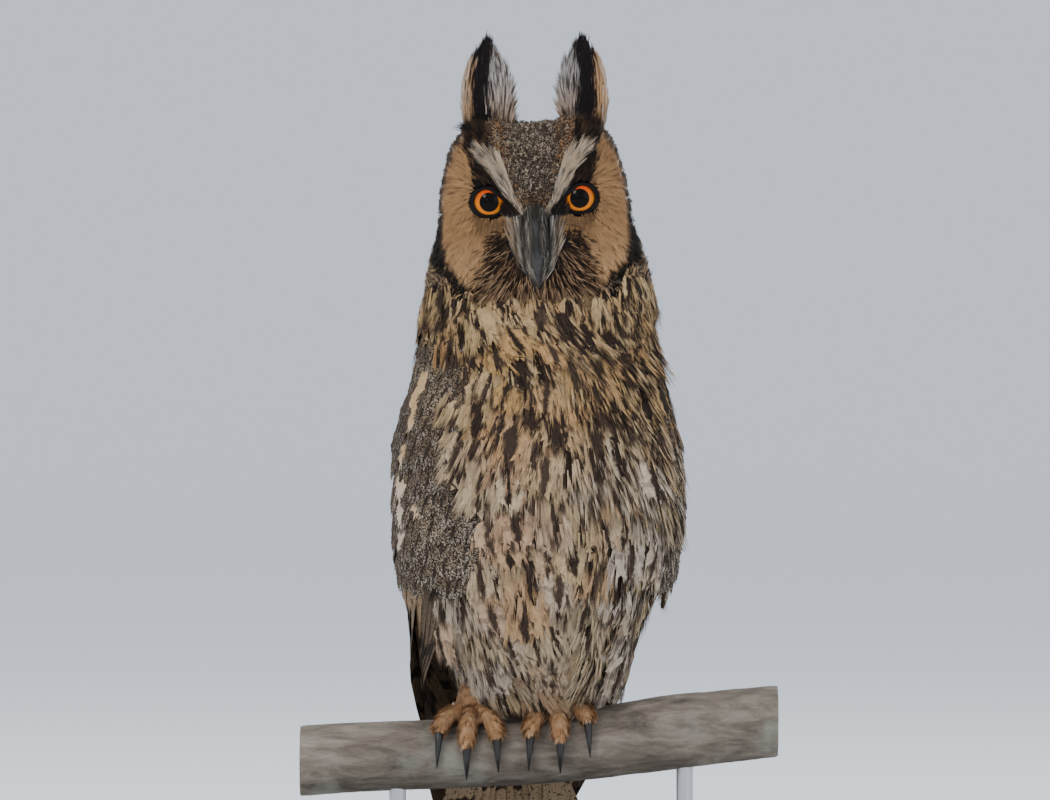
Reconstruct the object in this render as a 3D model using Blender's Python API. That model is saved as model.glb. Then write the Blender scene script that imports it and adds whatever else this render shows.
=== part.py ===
"""A long-eared owl on a short perch and a round stand: a still, life-size display model.

Sizes are in millimetres and become metres where a mesh is made. +Z is up, the owl faces -Y,
and its own left is at +X. The origin is the middle of the underside of the round base.
"""

import math

import bmesh
import bpy
import numpy as np

MM = 0.001
GAP = 0.3
FLAT_ANGLE = math.radians(0.05)

# Stand and perch
BASE_RADIUS = 120.0
BASE_HEIGHT = 16.0
BASE_BEVEL = 2.0
ROD_RADIUS = 4.0
ROD_PLACES = (-66.0, 70.0)
PERCH_AXIS_Z = 96.0
PERCH_SLOPE = 0.084
PERCH_RADIUS = 17.0
PERCH_ENDS = (-112.0, 114.0)
PERCH_BOW = 2.0

# Body: height, middle x, half width, front y, back y, all with the folded wings on
BODY_YAW = math.radians(15.0)
YAW_ENDS_Z = (284.0, 318.0)
BODY_ROWS = (
    (24.0, 0.0, 26.0, 36.0, 82.0),
    (50.0, -1.0, 38.0, 22.0, 78.0),
    (80.0, -2.0, 48.0, 7.0, 72.0),
    (125.0, -2.0, 58.0, -25.0, 62.0),
    (145.0, -1.0, 60.5, -40.0, 60.0),
    (165.0, -1.0, 63.5, -50.0, 59.0),
    (190.0, 0.0, 67.0, -59.0, 59.0),
    (215.0, 0.0, 67.6, -62.0, 58.0),
    (243.0, -0.5, 65.8, -60.0, 55.0),
    (275.0, -0.5, 59.5, -54.0, 50.0),
    (300.0, -1.0, 55.5, -46.0, 44.0),
    (318.0, -1.0, 53.0, -41.0, 40.0),
)
# The torso leaves the wings behind below the flanks and closes over the legs
TORSO_ROWS = (
    (126.0, 3.0, 22.0, -12.0, 34.0),
    (129.0, 3.0, 35.0, -23.0, 44.0),
    (137.0, 2.5, 42.0, -33.0, 49.0),
    (149.0, 1.0, 47.0, -42.0, 51.0),
    (165.0, -0.5, 53.0, -50.5, 53.0),
    (190.0, 0.0, 62.0, -59.0, 56.0),
    (215.0, 0.0, 67.6, -62.0, 58.0),
    (243.0, -0.5, 65.8, -60.0, 55.0),
    (275.0, -0.5, 59.5, -54.0, 50.0),
    (300.0, -1.0, 55.5, -46.0, 44.0),
)
TORSO_TOP_Z = 292.0
BODY_SQUARENESS = 2.25

# Wings: height, angle of the front edge and of the back edge from the breast, in degrees
WING_DEPTH = 6.0
BED_STEP_ANGLE = 6.0
BED_FADE_Z = (138.0, 160.0)
BED_TOP_Z = 289.5
WING_TOP_Z = 288.0
WING_EDGES_LEFT = (
    (24.0, 140.0, 176.0),
    (60.0, 118.0, 176.0),
    (100.0, 92.0, 175.0),
    (130.0, 76.0, 174.0),
    (165.0, 62.0, 170.0),
    (215.0, 58.0, 158.0),
    (250.0, 60.0, 142.0),
    (275.0, 66.0, 128.0),
    (290.0, 74.0, 118.0),
)
WING_EDGES_RIGHT = (
    (24.0, 140.0, 176.0),
    (60.0, 128.0, 176.0),
    (100.0, 112.0, 175.0),
    (118.0, 102.0, 174.0),
    (142.0, 66.0, 173.0),
    (165.0, 42.0, 170.0),
    (215.0, 31.0, 158.0),
    (250.0, 40.0, 142.0),
    (275.0, 52.0, 128.0),
    (290.0, 62.0, 118.0),
)

WING_ARM_END_Z = 206.0
PRIMARIES = 5
PRIMARY_TIPS = (41.0, 31.0, 36.0, 50.0, 66.0)
PRIMARY_LEVELS = ((236.0, 0.3), (205.0, 0.8), (176.0, 0.9), (146.0, 1.0), (106.0, 1.0), (76.0, 1.0))
PRIMARY_WIDTH = 15.0
PRIMARY_ROOT_Z = 236.0
PRIMARY_ROOT_PLACE = (0.06, 0.055)
PRIMARY_TIP_PLACE = (0.30, 0.10)
PRIMARY_TIP_SHARE = 0.2
PRIMARY_PILE_STEP = 0.9
PRIMARY_EDGE_LIFT = -5.1
PRIMARY_HIDDEN_LIFT = -6.6
PRIMARY_CLEAR_LIFT = -0.1
PRIMARY_DIVE_Z = (178, 146)
PRIMARY_CLEAR_Z = (104, 74)
ARM_SIDES = (-5.4, -3.4)
ARM_LIFT = -4.2
HAND_LIFT = -4.4

# Feathers: place along the vane and share of its full width there
VANE_THICKNESS = 0.6
VANE_STATIONS = ((0.0, 0.5), (0.2, 0.85), (0.45, 1.0), (0.7, 1.0), (0.92, 0.75), (1.0, 0.2))
COVERT_STATIONS = ((0.0, 0.5), (0.4, 0.95), (0.8, 0.92), (1.0, 0.25))

# Tiers of a wing from its secondaries up to its scapulars: count, first root, step from root to
# root, first tip, step from tip to tip, width, lift at root and tip, tilt, stations and columns
WING_TIERS = (
    (5, (230, 0.38), (3, 0.125), (98, 0.38), (6, 0.125), 20.4, HAND_LIFT, -4.6, 0.10, VANE_STATIONS, 3),
    (6, (246, 0.10), (1.5, 0.146), (191, 0.10), (2.3, 0.147), 20.0, ARM_LIFT, -2.0, 0.07, COVERT_STATIONS, 2),
    (5, (268, 0.14), (1.0, 0.17), (226, 0.14), (1.5, 0.17), 20.0, ARM_LIFT, -0.3, 0.07, COVERT_STATIONS, 2),
    (3, (284, 0.72), (-4, 0.09), (236, 0.66), (-15, 0.12), 22.0, ARM_LIFT, 1.2, 0.05, COVERT_STATIONS, 2),
)

# Tail
TAIL_FEATHERS = 6
TAIL_ROOT_Z = 172.0
TAIL_TIP_Z = 27.0
TAIL_QUILL_Z = 146.0
TAIL_CORE_END_Z = 116.0
TAIL_FEATHER_WIDTH = 19.0
TAIL_ROOT_Y = 44.0
TAIL_SLOPE = 0.19
TAIL_CURVE_RADIUS = 52.0
TAIL_SIDE_STEP = 2.2
TAIL_STATIONS = ((0.0, 0.5), (0.3, 0.95), (0.78, 1.0), (0.95, 0.72), (1.0, 0.2))

# Head, in its own frame: height over the eyes, half width, front y, back y
HEAD_PLACE = (-1.2, 0.0, 355.0)
HEAD_ROLL = math.radians(2.5)
HEAD_FLOOR = -43.0
HEAD_ROWS = (
    (-43.0, 54.0, -43.5, 42.0),
    (-35.0, 53.0, -44.5, 41.0),
    (-23.0, 50.3, -45.5, 40.0),
    (-14.0, 47.3, -46.0, 39.5),
    (-7.0, 46.0, -46.5, 39.5),
    (0.0, 45.3, -46.5, 39.5),
    (7.6, 44.2, -46.0, 39.0),
    (17.0, 42.0, -45.0, 37.5),
    (24.0, 40.0, -43.0, 35.0),
    (29.7, 37.0, -40.0, 32.0),
    (33.5, 33.5, -36.0, 28.0),
    (36.5, 27.0, -29.0, 22.0),
    (38.1, 19.0, -21.0, 15.0),
    (38.8, 10.0, -12.0, 7.0),
)
FACE_SQUARENESS = 3.2
NAPE_SQUARENESS = 2.1
DISC_MIDDLE_Z = -2.0
DISC_HALF_WIDTH = 43.5
DISC_HALF_HEIGHT = 38.0
DISC_SQUARENESS = (3.4, 2.6)
EYE_RADIUS = 10.4
EYE_PLACE = (21.2, -36.4, 0.0)
LID_RADIUS = 1.3
LID_HALF_WIDTH = 8.0
LID_HALF_HEIGHT = 7.2

# Locks on the head: place along the lock, share of its width there, thickness
LOCK_STATIONS = ((0.0, 0.6, 0.8), (0.3, 1.0, 0.8), (0.7, 0.85, 0.7), (1.0, 0.14, 0.5))
LOCK_ROOT_LIFT = -1.6
LOCK_LIE_LIFT = 1.3
RUFF_LOCKS = 19
RUFF_TURNS = (48.0, 312.0)
RUFF_INSET = 3.0
RUFF_REACH = 13.0
RUFF_WIDTH = 10.2
BROW_ROOTS = ((6.0, -5.0), (8.5, 1.0), (11.5, 7.0), (14.5, 12.0))
GAPE_LOCKS = (
    ((8.0, -8.0), (8.5, -31.0)),
    ((11.5, -9.0), (14.5, -30.0)),
    ((15.5, -12.0), (20.0, -30.0)),
    ((5.5, -33.0), (3.5, -42.0)),
)

# Bill, in the head's frame: y and z of its middle line, half width, half depth
BILL_UPPER_ROWS = (
    (-38.0, -5.0, 5.6, 6.4),
    (-47.0, -7.0, 5.6, 6.4),
    (-52.5, -12.0, 5.3, 5.6),
    (-55.0, -19.0, 4.6, 4.6),
    (-56.0, -26.0, 3.4, 3.4),
    (-55.6, -32.0, 2.0, 2.2),
    (-53.8, -38.0, 0.4, 0.5),
)
BILL_LOWER_ROWS = (
    (-36.0, -25.5, 4.6, 3.0),
    (-43.0, -28.0, 4.4, 3.0),
    (-48.5, -30.5, 3.4, 2.6),
    (-52.0, -33.2, 1.0, 0.9),
)
NOSTRIL_PLACE = (4.9, -52.0, -10.5)
NOSTRIL_RADIUS = 1.2

# Ear tufts: x of the root, of the tip, of the outer and inner bulge, and heights, in world
TUFTS = {
    "left": dict(root=(21.0, 386.0), tip=(20.5, 438.6), outer=14.0, inner=-11.5),
    "right": dict(root=(-21.5, 384.0), tip=(-23.5, 436.0), outer=-15.0, inner=12.0),
}
TUFT_ROOT_Y = -22.0
TUFT_TIP_Y = -15.0
TUFT_THICKNESS = 6.0
TUFT_CUP = 4.0
TUFT_STATIONS = ((0.0, 0.9), (0.4, 1.0), (0.78, 0.8), (1.0, 0.12))
# Tuft feathers: place across from the inner to the outer edge, reach, half width, layer
TUFT_VANES = (
    (-0.78, 0.74, 0.22, 0.6),
    (-0.42, 0.88, 0.24, 1.6),
    (-0.06, 0.97, 0.26, 0.6),
    (0.30, 1.00, 0.26, 1.6),
    (0.72, 0.92, 0.26, 0.6),
    (-0.50, 0.62, 0.26, -0.9),
    (0.05, 0.74, 0.26, -1.9),
    (0.55, 0.70, 0.26, -0.9),
)

# Legs and feet
FOOT_PLACES = {"left": 9.0, "right": -31.0}
LEG_FLOOR_OVER_PERCH = 8.0
LEG_TOP_Z = 144.0
TOE_RADIUS = 4.9
TOES = (
    # name, sideways spread at the tip, angle round the perch where the toe ends
    ("inner", -12.0, 74.0),
    ("middle", 2.0, 84.0),
    ("outer", 15.0, 62.0),
    ("hind", -3.0, -66.0),
)
CLAW_RADIUS = 2.1
CLAW_SWEEP = 46.0


def smooth_rows(rows):
    """Returns a function that reads smooth values between rows sorted by their first number."""
    table = np.array(rows, float)
    keys = table[:, 0]
    values = table[:, 1:]
    slopes = np.gradient(values, keys, axis=0)

    def read(key):
        key = min(max(key, keys[0]), keys[-1])
        i = int(np.clip(np.searchsorted(keys, key) - 1, 0, len(keys) - 2))
        span = keys[i + 1] - keys[i]
        t = (key - keys[i]) / span
        start = (1 + 2 * t) * (1 - t) ** 2 * values[i] + t * (1 - t) ** 2 * span * slopes[i]
        end = t * t * (3 - 2 * t) * values[i + 1] + t * t * (t - 1) * span * slopes[i + 1]
        return start + end

    return read


def smoothstep(low, high, value):
    t = min(max((value - low) / (high - low), 0.0), 1.0)
    return t * t * (3 - 2 * t)


def power(value, exponent):
    return math.copysign(abs(value) ** exponent, value)


def new_object(name, points, faces):
    """Makes a mesh object from points in millimetres."""
    mesh = bpy.data.meshes.new(name)
    mesh.from_pydata([tuple(MM * c for c in p) for p in points], [], faces)
    mesh.validate()
    thing = bpy.data.objects.new(name, mesh)
    bpy.context.scene.collection.objects.link(thing)
    work = bmesh.new()
    work.from_mesh(mesh)
    bmesh.ops.recalc_face_normals(work, faces=work.faces)
    if work.calc_volume(signed=True) < 0:
        bmesh.ops.reverse_faces(work, faces=work.faces)
    work.to_mesh(mesh)
    work.free()
    return thing


def loft(name, rings):
    """Joins rings of as many points each, and closes both ends.

    The sides are triangles split one way, so a fatter copy of a form stays outside it all over.
    """
    count = len(rings[0])
    points = [p for ring in rings for p in ring]
    faces = []
    for r in range(len(rings) - 1):
        for i in range(count):
            j = (i + 1) % count
            a = r * count
            b = a + count
            faces.append((a + i, a + j, b + j))
            faces.append((a + i, b + j, b + i))
    faces.append(tuple(range(count)))
    faces.append(tuple(range(len(points) - count, len(points))))
    return new_object(name, points, faces)


def tube(name, path, radii, sides, extra=0.0):
    """A tapered tube round a path in a plane of constant x, or near it; radii are (across, deep)."""
    path = np.array(path, float)
    steps = np.gradient(path, axis=0)
    rings = []
    for p, step, (across, deep) in zip(path, steps, radii):
        step = step / np.linalg.norm(step)
        side = np.array((1.0, 0.0, 0.0)) - step[0] * step
        side /= np.linalg.norm(side)
        up = np.cross(step, side)
        ring = []
        for i in range(sides):
            turn = 2 * math.pi * i / sides
            ring.append(
                p + side * (across + extra) * math.cos(turn) + up * (deep + extra) * math.sin(turn)
            )
        rings.append(ring)
    return loft(name, rings)


def plate(name, columns, thickness):
    """A thin closed plate over columns of points that run from root to tip.

    Both faces are split into triangles alike. The thickness is one number for each row.
    """
    grid = np.array(columns, float)
    across = np.gradient(grid, axis=0)
    along = np.gradient(grid, axis=1)
    normals = np.cross(across, along)
    normals /= np.linalg.norm(normals, axis=2)[:, :, None]
    half = np.array(thickness, float)[None, :, None] / 2
    upper = grid + normals * half
    lower = grid - normals * half
    wide, rows = grid.shape[:2]
    points = [tuple(p) for p in upper.reshape(-1, 3)] + [tuple(p) for p in lower.reshape(-1, 3)]
    under = wide * rows
    faces = []
    for c in range(wide - 1):
        for r in range(rows - 1):
            a = c * rows + r
            b = a + rows
            for triangle in ((a, b, b + 1), (a, b + 1, a + 1)):
                faces.append(triangle)
                faces.append(tuple(under + i for i in reversed(triangle)))
    rim = [(c * rows, (c + 1) * rows) for c in range(wide - 1)]
    rim += [((wide - 1) * rows + r, (wide - 1) * rows + r + 1) for r in range(rows - 1)]
    rim += [((c + 1) * rows + rows - 1, c * rows + rows - 1) for c in reversed(range(wide - 1))]
    rim += [(r + 1, r) for r in reversed(range(rows - 1))]
    for a, b in rim:
        faces.append((b, a, a + under))
        faces.append((b, a + under, b + under))
    return new_object(name, points, faces)


def ball(name, centre, radius, segments=14, rings=9):
    work = bmesh.new()
    bmesh.ops.create_uvsphere(work, u_segments=segments, v_segments=rings, radius=radius)
    points = [tuple(c + o for c, o in zip(v.co, centre)) for v in work.verts]
    faces = [tuple(v.index for v in f.verts) for f in work.faces]
    work.free()
    return new_object(name, points, faces)


def remove(thing):
    bpy.data.objects.remove(thing, do_unlink=True)


def keep_largest(thing):
    """Keeps the largest closed surface of an object, so a sealed hollow or a scrap goes."""
    work = bmesh.new()
    work.from_mesh(thing.data)
    bmesh.ops.remove_doubles(work, verts=work.verts, dist=1e-7)
    left = set(work.faces)
    groups = []
    while left:
        group = [left.pop()]
        for face in group:
            for edge in face.edges:
                for other in edge.link_faces:
                    if other in left:
                        left.remove(other)
                        group.append(other)
        groups.append(group)
    size = {id(g): sum(f.calc_area() for f in g) for g in groups}
    largest = max(groups, key=lambda g: size[id(g)])
    drop = [f for g in groups if g is not largest for f in g]
    if drop:
        bmesh.ops.delete(work, geom=drop, context="FACES")
        loose = [v for v in work.verts if not v.link_faces]
        bmesh.ops.delete(work, geom=loose, context="VERTS")
    bmesh.ops.dissolve_limit(
        work,
        angle_limit=FLAT_ANGLE,
        use_dissolve_boundaries=False,
        verts=work.verts,
        edges=work.edges,
    )
    bmesh.ops.triangulate(work, faces=work.faces)
    work.to_mesh(thing.data)
    work.free()


def combine(thing, others, operation, solver="EXACT"):
    """Joins closed objects to one, or cuts them from it, applies that and removes them."""
    group = bpy.data.collections.new("to_combine")
    bpy.context.scene.collection.children.link(group)
    for other in others:
        for owner in list(other.users_collection):
            owner.objects.unlink(other)
        group.objects.link(other)
    modifier = thing.modifiers.new("combine", "BOOLEAN")
    modifier.operation = operation
    modifier.operand_type = "COLLECTION"
    modifier.collection = group
    modifier.solver = solver
    graph = bpy.context.evaluated_depsgraph_get()
    mesh = bpy.data.meshes.new_from_object(thing.evaluated_get(graph))
    thing.modifiers.clear()
    old = thing.data
    thing.data = mesh
    bpy.data.meshes.remove(old)
    mesh.name = thing.name
    for other in others:
        remove(other)
    bpy.data.collections.remove(group)
    keep_largest(thing)
    return thing


def move_to_head(thing):
    """Takes a piece from the head's frame to its place, with the head's roll."""
    sine = math.sin(HEAD_ROLL)
    cosine = math.cos(HEAD_ROLL)
    for vertex in thing.data.vertices:
        x, y, z = vertex.co / MM
        vertex.co = (
            MM * (HEAD_PLACE[0] + x * cosine - z * sine),
            MM * (HEAD_PLACE[1] + y),
            MM * (HEAD_PLACE[2] + x * sine + z * cosine),
        )
    return thing


body_at = smooth_rows(BODY_ROWS)
torso_at = smooth_rows(TORSO_ROWS)
head_at = smooth_rows(HEAD_ROWS)
wing_edges = {
    "left": smooth_rows(WING_EDGES_LEFT),
    "right": smooth_rows(WING_EDGES_RIGHT),
}


def turned(x, y, z):
    """Turns a point of the body about the vertical: the breast looks to one side of the face."""
    yaw = BODY_YAW * (1 - smoothstep(*YAW_ENDS_Z, z))
    return (
        x * math.cos(yaw) - y * math.sin(yaw),
        x * math.sin(yaw) + y * math.cos(yaw),
        z,
    )


def ring_point(row, z, angle, lift=0.0):
    """A point of a body section at an angle from the breast, lifted off along its normal."""
    middle_x, half_width, front, back = row
    middle_y = (front + back) / 2
    half_depth = (back - front) / 2
    exponent = 2 / BODY_SQUARENESS
    sine = math.sin(angle)
    cosine = math.cos(angle)
    x = middle_x + half_width * power(sine, exponent)
    y = middle_y - half_depth * power(cosine, exponent)
    nx = sine / half_width
    ny = -cosine / half_depth
    size = math.hypot(nx, ny)
    return turned(x + lift * nx / size, y + lift * ny / size, z)


def body_point(z, angle, lift=0.0):
    return ring_point(body_at(z), z, angle, lift)


def flank_columns(side, z):
    """Angles round one flank from breast to back, each with the share of the bed under the wing."""
    front, back = wing_edges[side](z)
    bed = smoothstep(*BED_FADE_Z, z)
    start = front - BED_STEP_ANGLE
    end = min(back + BED_STEP_ANGLE, 179.0)
    columns = [(start * i / 6, 0.0) for i in range(7)]
    columns += [(front - 1 + (back + 1 - front) * i / 6, bed) for i in range(7)]
    columns += [(end, 0.0), ((end + 180) / 2, 0.0)]
    return columns


def round_columns(z):
    """All columns of a torso ring, from the breast round the left flank and back by the right."""
    left = flank_columns("left", z)
    right = [(-angle, bed) for angle, bed in reversed(flank_columns("right", z)[1:])]
    return left + [(180.0, 0.0)] + right


def torso(extra=0.0, rows=16):
    """The trunk from over the legs to the neck; extra makes the fatter copy that clears its room."""
    floor = TORSO_ROWS[0][0]
    rings = []
    for r in range(rows + 1):
        t = r / rows
        z = floor + (BED_TOP_Z - floor) * (0.35 * t * t + 0.65 * t)
        ring = []
        for angle, bed in round_columns(z):
            lift = extra - (WING_DEPTH + 2 * GAP) * bed
            x, y, _ = ring_point(torso_at(z), z, math.radians(angle), lift)
            ring.append((x, y, z - extra * smoothstep(0.3, 0.2, t)))
        rings.append(ring)
    ring = []
    for angle, _ in round_columns(TORSO_TOP_Z):
        x, y, z = body_point(TORSO_TOP_Z, math.radians(angle), extra)
        ring.append((x, y, z + extra))
    rings.append(ring)
    return loft("torso", rings)


def neck(sides=32, rows=2):
    """The ruff between the shoulders and the head, cut level below and with the head's roll above."""
    low = TORSO_TOP_Z + GAP
    rings = []
    for r in range(rows + 1):
        t = r / rows
        ring = []
        for i in range(sides):
            angle = 2 * math.pi * i / sides
            x, y, _ = body_point(low + t * 19, angle)
            high = HEAD_PLACE[2] + HEAD_FLOOR - GAP + (x - HEAD_PLACE[0]) * math.tan(HEAD_ROLL)
            z = low + t * (high - low)
            x, y, _ = body_point(z, angle)
            ring.append((x, y, z))
        rings.append(ring)
    return loft("neck", rings)


def disc_distance(x, z):
    """Signed distance, near enough, from the edge of the facial disc, positive outside."""
    exponent = DISC_SQUARENESS[0] if z < DISC_MIDDLE_Z else DISC_SQUARENESS[1]
    across = abs(x) / DISC_HALF_WIDTH
    high = abs(z - DISC_MIDDLE_Z) / DISC_HALF_HEIGHT
    reach = (across**exponent + high**exponent) ** (1 / exponent)
    return (reach - 1) * 40


def bump(distance, width):
    return math.exp(-((distance / width) ** 2))


def face_relief(x, z):
    """How far the face stands forward of the plain head at a place seen from in front."""
    edge = disc_distance(x, z)
    inside = smoothstep(0.0, -7.0, edge)
    ridge = bump(x, 9.0) * smoothstep(36, 12, z) * smoothstep(-42, -24, z)
    eye = math.hypot(abs(x) - EYE_PLACE[0], z - EYE_PLACE[2])
    dish = bump(abs(x) - 31, 9.0) * bump(z + 6, 24.0)
    brow = bump(abs(x) - 14 - 0.5 * z, 4.5) * bump(z - 11, 12.0)
    return 5.5 * ridge + 2.0 * bump(edge, 2.6) - 1.6 * inside * dish - 1.4 * bump(eye, 10.0) + 2.2 * brow


def head_point(z, angle, lift=0.0):
    """A point of the head at a height over the eyes and an angle from the bill."""
    half_width, front, back = head_at(z)
    middle = (front + back) / 2
    sine = math.sin(angle)
    cosine = math.cos(angle)
    square = FACE_SQUARENESS if cosine > 0 else NAPE_SQUARENESS
    square = 2.4 + (square - 2.4) * smoothstep(0.0, 0.5, abs(cosine))
    x = half_width * power(sine, 2 / square)
    y = middle - (back - front) / 2 * power(cosine, 2 / square)
    y -= face_relief(x, z) * smoothstep(0.0, 0.45, cosine)
    nx = sine / half_width
    ny = -cosine / (back - front) * 2
    size = math.hypot(nx, ny)
    return (x + lift * nx / size, y + lift * ny / size, z)


def head_core(name, extra=0.0, sides=28):
    levels = np.concatenate([np.linspace(HEAD_FLOOR, 26.0, 11), (31.5, 35.2, 37.6, 38.8)])
    rings = []
    for level in levels:
        z = level + extra * smoothstep(30.0, 38.8, level)
        ring = []
        for i in range(sides):
            x, y, _ = head_point(level, 2 * math.pi * (i + 0.5) / sides, extra)
            ring.append((x, y, z))
        rings.append(ring)
    return loft(name, rings)


def bill(name, rows, extra=0.0, sides=10):
    table = smooth_rows([(i, *row) for i, row in enumerate(rows)])
    steps = np.linspace(0, len(rows) - 1, len(rows) + 2)
    values = [table(s) for s in steps]
    path = [(0.0, v[0], v[1]) for v in values]
    radii = [(v[2], v[3]) for v in values]
    return tube(name, path, radii, sides, extra)


def eye(name, side, extra=0.0):
    x, y, z = EYE_PLACE
    return ball(name, (side * x, y, z), EYE_RADIUS + extra)


def lid(side, segments=14, sides=4):
    """The bare rim of the lids, a ring that follows the ball of the eye."""
    x, y, z = EYE_PLACE
    rings = []
    for i in range(segments):
        turn = 2 * math.pi * i / segments
        out = (math.cos(turn) * LID_HALF_WIDTH, math.sin(turn) * LID_HALF_HEIGHT)
        reach = math.hypot(*out)
        depth = y - math.sqrt(EYE_RADIUS**2 - reach**2) - 0.2
        ring = []
        for j in range(sides):
            roll = 2 * math.pi * j / sides
            grow = 1 + LID_RADIUS * math.cos(roll) / reach
            ring.append((side * x + out[0] * grow, depth - LID_RADIUS * math.sin(roll), z + out[1] * grow))
        rings.append(ring)
    points = [p for ring in rings for p in ring]
    faces = []
    for r in range(segments):
        a = r * sides
        b = (r + 1) % segments * sides
        for j in range(sides):
            k = (j + 1) % sides
            faces.append((a + j, a + k, b + k, b + j))
    return new_object("lid", points, faces)


def nostril(side):
    x, y, z = NOSTRIL_PLACE
    return ball("nostril", (side * x, y, z), NOSTRIL_RADIUS, 7, 4)


def head_angle(x, z):
    """The angle from the bill at which the front of the head has this x."""
    low = 0.0
    high = math.pi / 2
    for _ in range(20):
        middle = (low + high) / 2
        if head_point(z, middle)[0] < abs(x):
            low = middle
        else:
            high = middle
    return math.copysign(low, x)


def lock(root, tip, width, rise, tilt=0.0):
    """A flat tapered lock on the head from root to tip, each given as (height, angle).

    It comes out of the skin, lies along it, and stands off it by rise at its tip. tilt lifts
    one edge and lowers the other, so that neighbours lie on each other like shingles.
    """
    centres = []
    normals = []
    for t, _, _ in LOCK_STATIONS:
        z = root[0] + (tip[0] - root[0]) * t
        angle = root[1] + (tip[1] - root[1]) * t
        lift = LOCK_ROOT_LIFT + (LOCK_LIE_LIFT - LOCK_ROOT_LIFT) * smoothstep(0.0, 0.4, t) + rise * t * t
        centre = np.array(head_point(z, angle, lift))
        centres.append(centre)
        normals.append(np.array(head_point(z, angle, lift + 1.0)) - centre)
    steps = np.gradient(np.array(centres), axis=0)
    columns = [[], []]
    for centre, normal, step, (t, share, _) in zip(centres, normals, steps, LOCK_STATIONS):
        across = np.cross(normal, step)
        across *= width * share / 2 / np.linalg.norm(across)
        slant = normal * tilt * share * smoothstep(0.0, 0.4, t)
        columns[0].append(centre - across - slant)
        columns[1].append(centre + across + slant)
    return plate("lock", columns, [thick for _, _, thick in LOCK_STATIONS])


def front_lock(root, tip, width, rise, sign):
    """A lock on the face, with root and tip given as seen from in front."""
    ends = [(z, head_angle(sign * x, z)) for x, z in (root, tip)]
    return lock(*ends, width, rise)


def ruff_lock(turn):
    """A lock of the ruff, rooted in the rim of the facial disc at an angle from its top."""
    exponent = DISC_SQUARENESS[0] if math.cos(turn) < 0 else DISC_SQUARENESS[1]
    x = (DISC_HALF_WIDTH - RUFF_INSET) * power(math.sin(turn), 2 / exponent)
    z = DISC_MIDDLE_Z + (DISC_HALF_HEIGHT - RUFF_INSET) * power(math.cos(turn), 2 / exponent)
    angle = head_angle(x, z)
    side = math.sin(turn)
    down = 0.5 - 0.5 * math.cos(turn)
    tip = (z - 2.0 - RUFF_REACH * down**2 * (1 - 0.6 * abs(side)), angle + math.radians(23) * side)
    return lock((z, angle), tip, RUFF_WIDTH, 0.8 + 1.8 * down**3, 0.5 * side)


def head_locks():
    """The locks of ruff, brow, gape and chin."""
    first, last = RUFF_TURNS
    for i in range(RUFF_LOCKS):
        yield ruff_lock(math.radians(first + (last - first) * i / (RUFF_LOCKS - 1)))
    for sign in (1, -1):
        for x, z in BROW_ROOTS:
            yield front_lock((x, z), (x + 8.0, z + 14.0), 5.0, 1.4, sign)
        for root, tip in GAPE_LOCKS:
            yield front_lock(root, tip, 4.6, 1.6, sign)


def head():
    """The skull with its disc, locks, brow ridges and lids, open for the eyes and the bill."""
    thing = head_core("head")
    combine(thing, [lid(1), lid(-1)], "UNION")
    combine(thing, list(head_locks()), "UNION", "MANIFOLD")
    cutters = [
        eye("cut", 1, GAP),
        eye("cut", -1, GAP),
        bill("cut", BILL_UPPER_ROWS, GAP),
        bill("cut", BILL_LOWER_ROWS, GAP),
    ]
    combine(thing, cutters, "DIFFERENCE")
    return move_to_head(thing)


def bill_upper():
    thing = bill("bill_upper", BILL_UPPER_ROWS)
    combine(thing, [nostril(1), nostril(-1)], "DIFFERENCE")
    return move_to_head(thing)


def bill_lower():
    thing = bill("bill_lower", BILL_LOWER_ROWS)
    combine(thing, [bill("cut", BILL_UPPER_ROWS, GAP)], "DIFFERENCE")
    return move_to_head(thing)


def tuft_place(side, t, k, layer):
    """A point of an ear tuft: t runs up it, k across it from the inner to the outer edge."""
    place = TUFTS[side]
    z = place["root"][1] + t * (place["tip"][1] - place["root"][1])
    middle = place["root"][0] + t * (place["tip"][0] - place["root"][0])
    swell = math.sin(math.pi * (0.24 + 0.74 * t)) ** 0.8
    x = middle + swell * (place["inner"] + (place["outer"] - place["inner"]) * (k + 1) / 2)
    y = TUFT_ROOT_Y + t * (TUFT_TIP_Y - TUFT_ROOT_Y)
    return (x, y - TUFT_CUP * k * k * swell + layer, z)


def tuft_vane(side, k, reach, width, layer):
    grid = [[], [], []]
    for t, share in TUFT_STATIONS:
        up = reach * t
        for c in range(3):
            across = k + (c - 1) * width * share
            grid[c].append(tuft_place(side, up, across, layer * smoothstep(0.0, 0.35, t)))
    return plate("vane", grid, [VANE_THICKNESS] * (len(TUFT_STATIONS) - 1) + [0.5])


def tuft(side):
    """One ear tuft: long feathers side by side behind, shorter ones before them."""
    rings = []
    for t in np.linspace(0, 0.3, 4):
        ring = []
        for i in range(12):
            turn = 2 * math.pi * i / 12
            x, y, z = tuft_place(side, t, 0.86 * math.cos(turn), 0.0)
            thick = TUFT_THICKNESS / 2 * (1 - 2.4 * t)
            ring.append((x, y + thick * math.sin(turn), z))
        rings.append(ring)
    thing = loft("ear_tuft_" + side, rings)
    vanes = [tuft_vane(side, *row) for row in TUFT_VANES]
    combine(thing, vanes, "UNION", "MANIFOLD")
    cutter = move_to_head(head_core("cut", GAP))
    return combine(thing, [cutter], "DIFFERENCE", "MANIFOLD")


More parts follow.
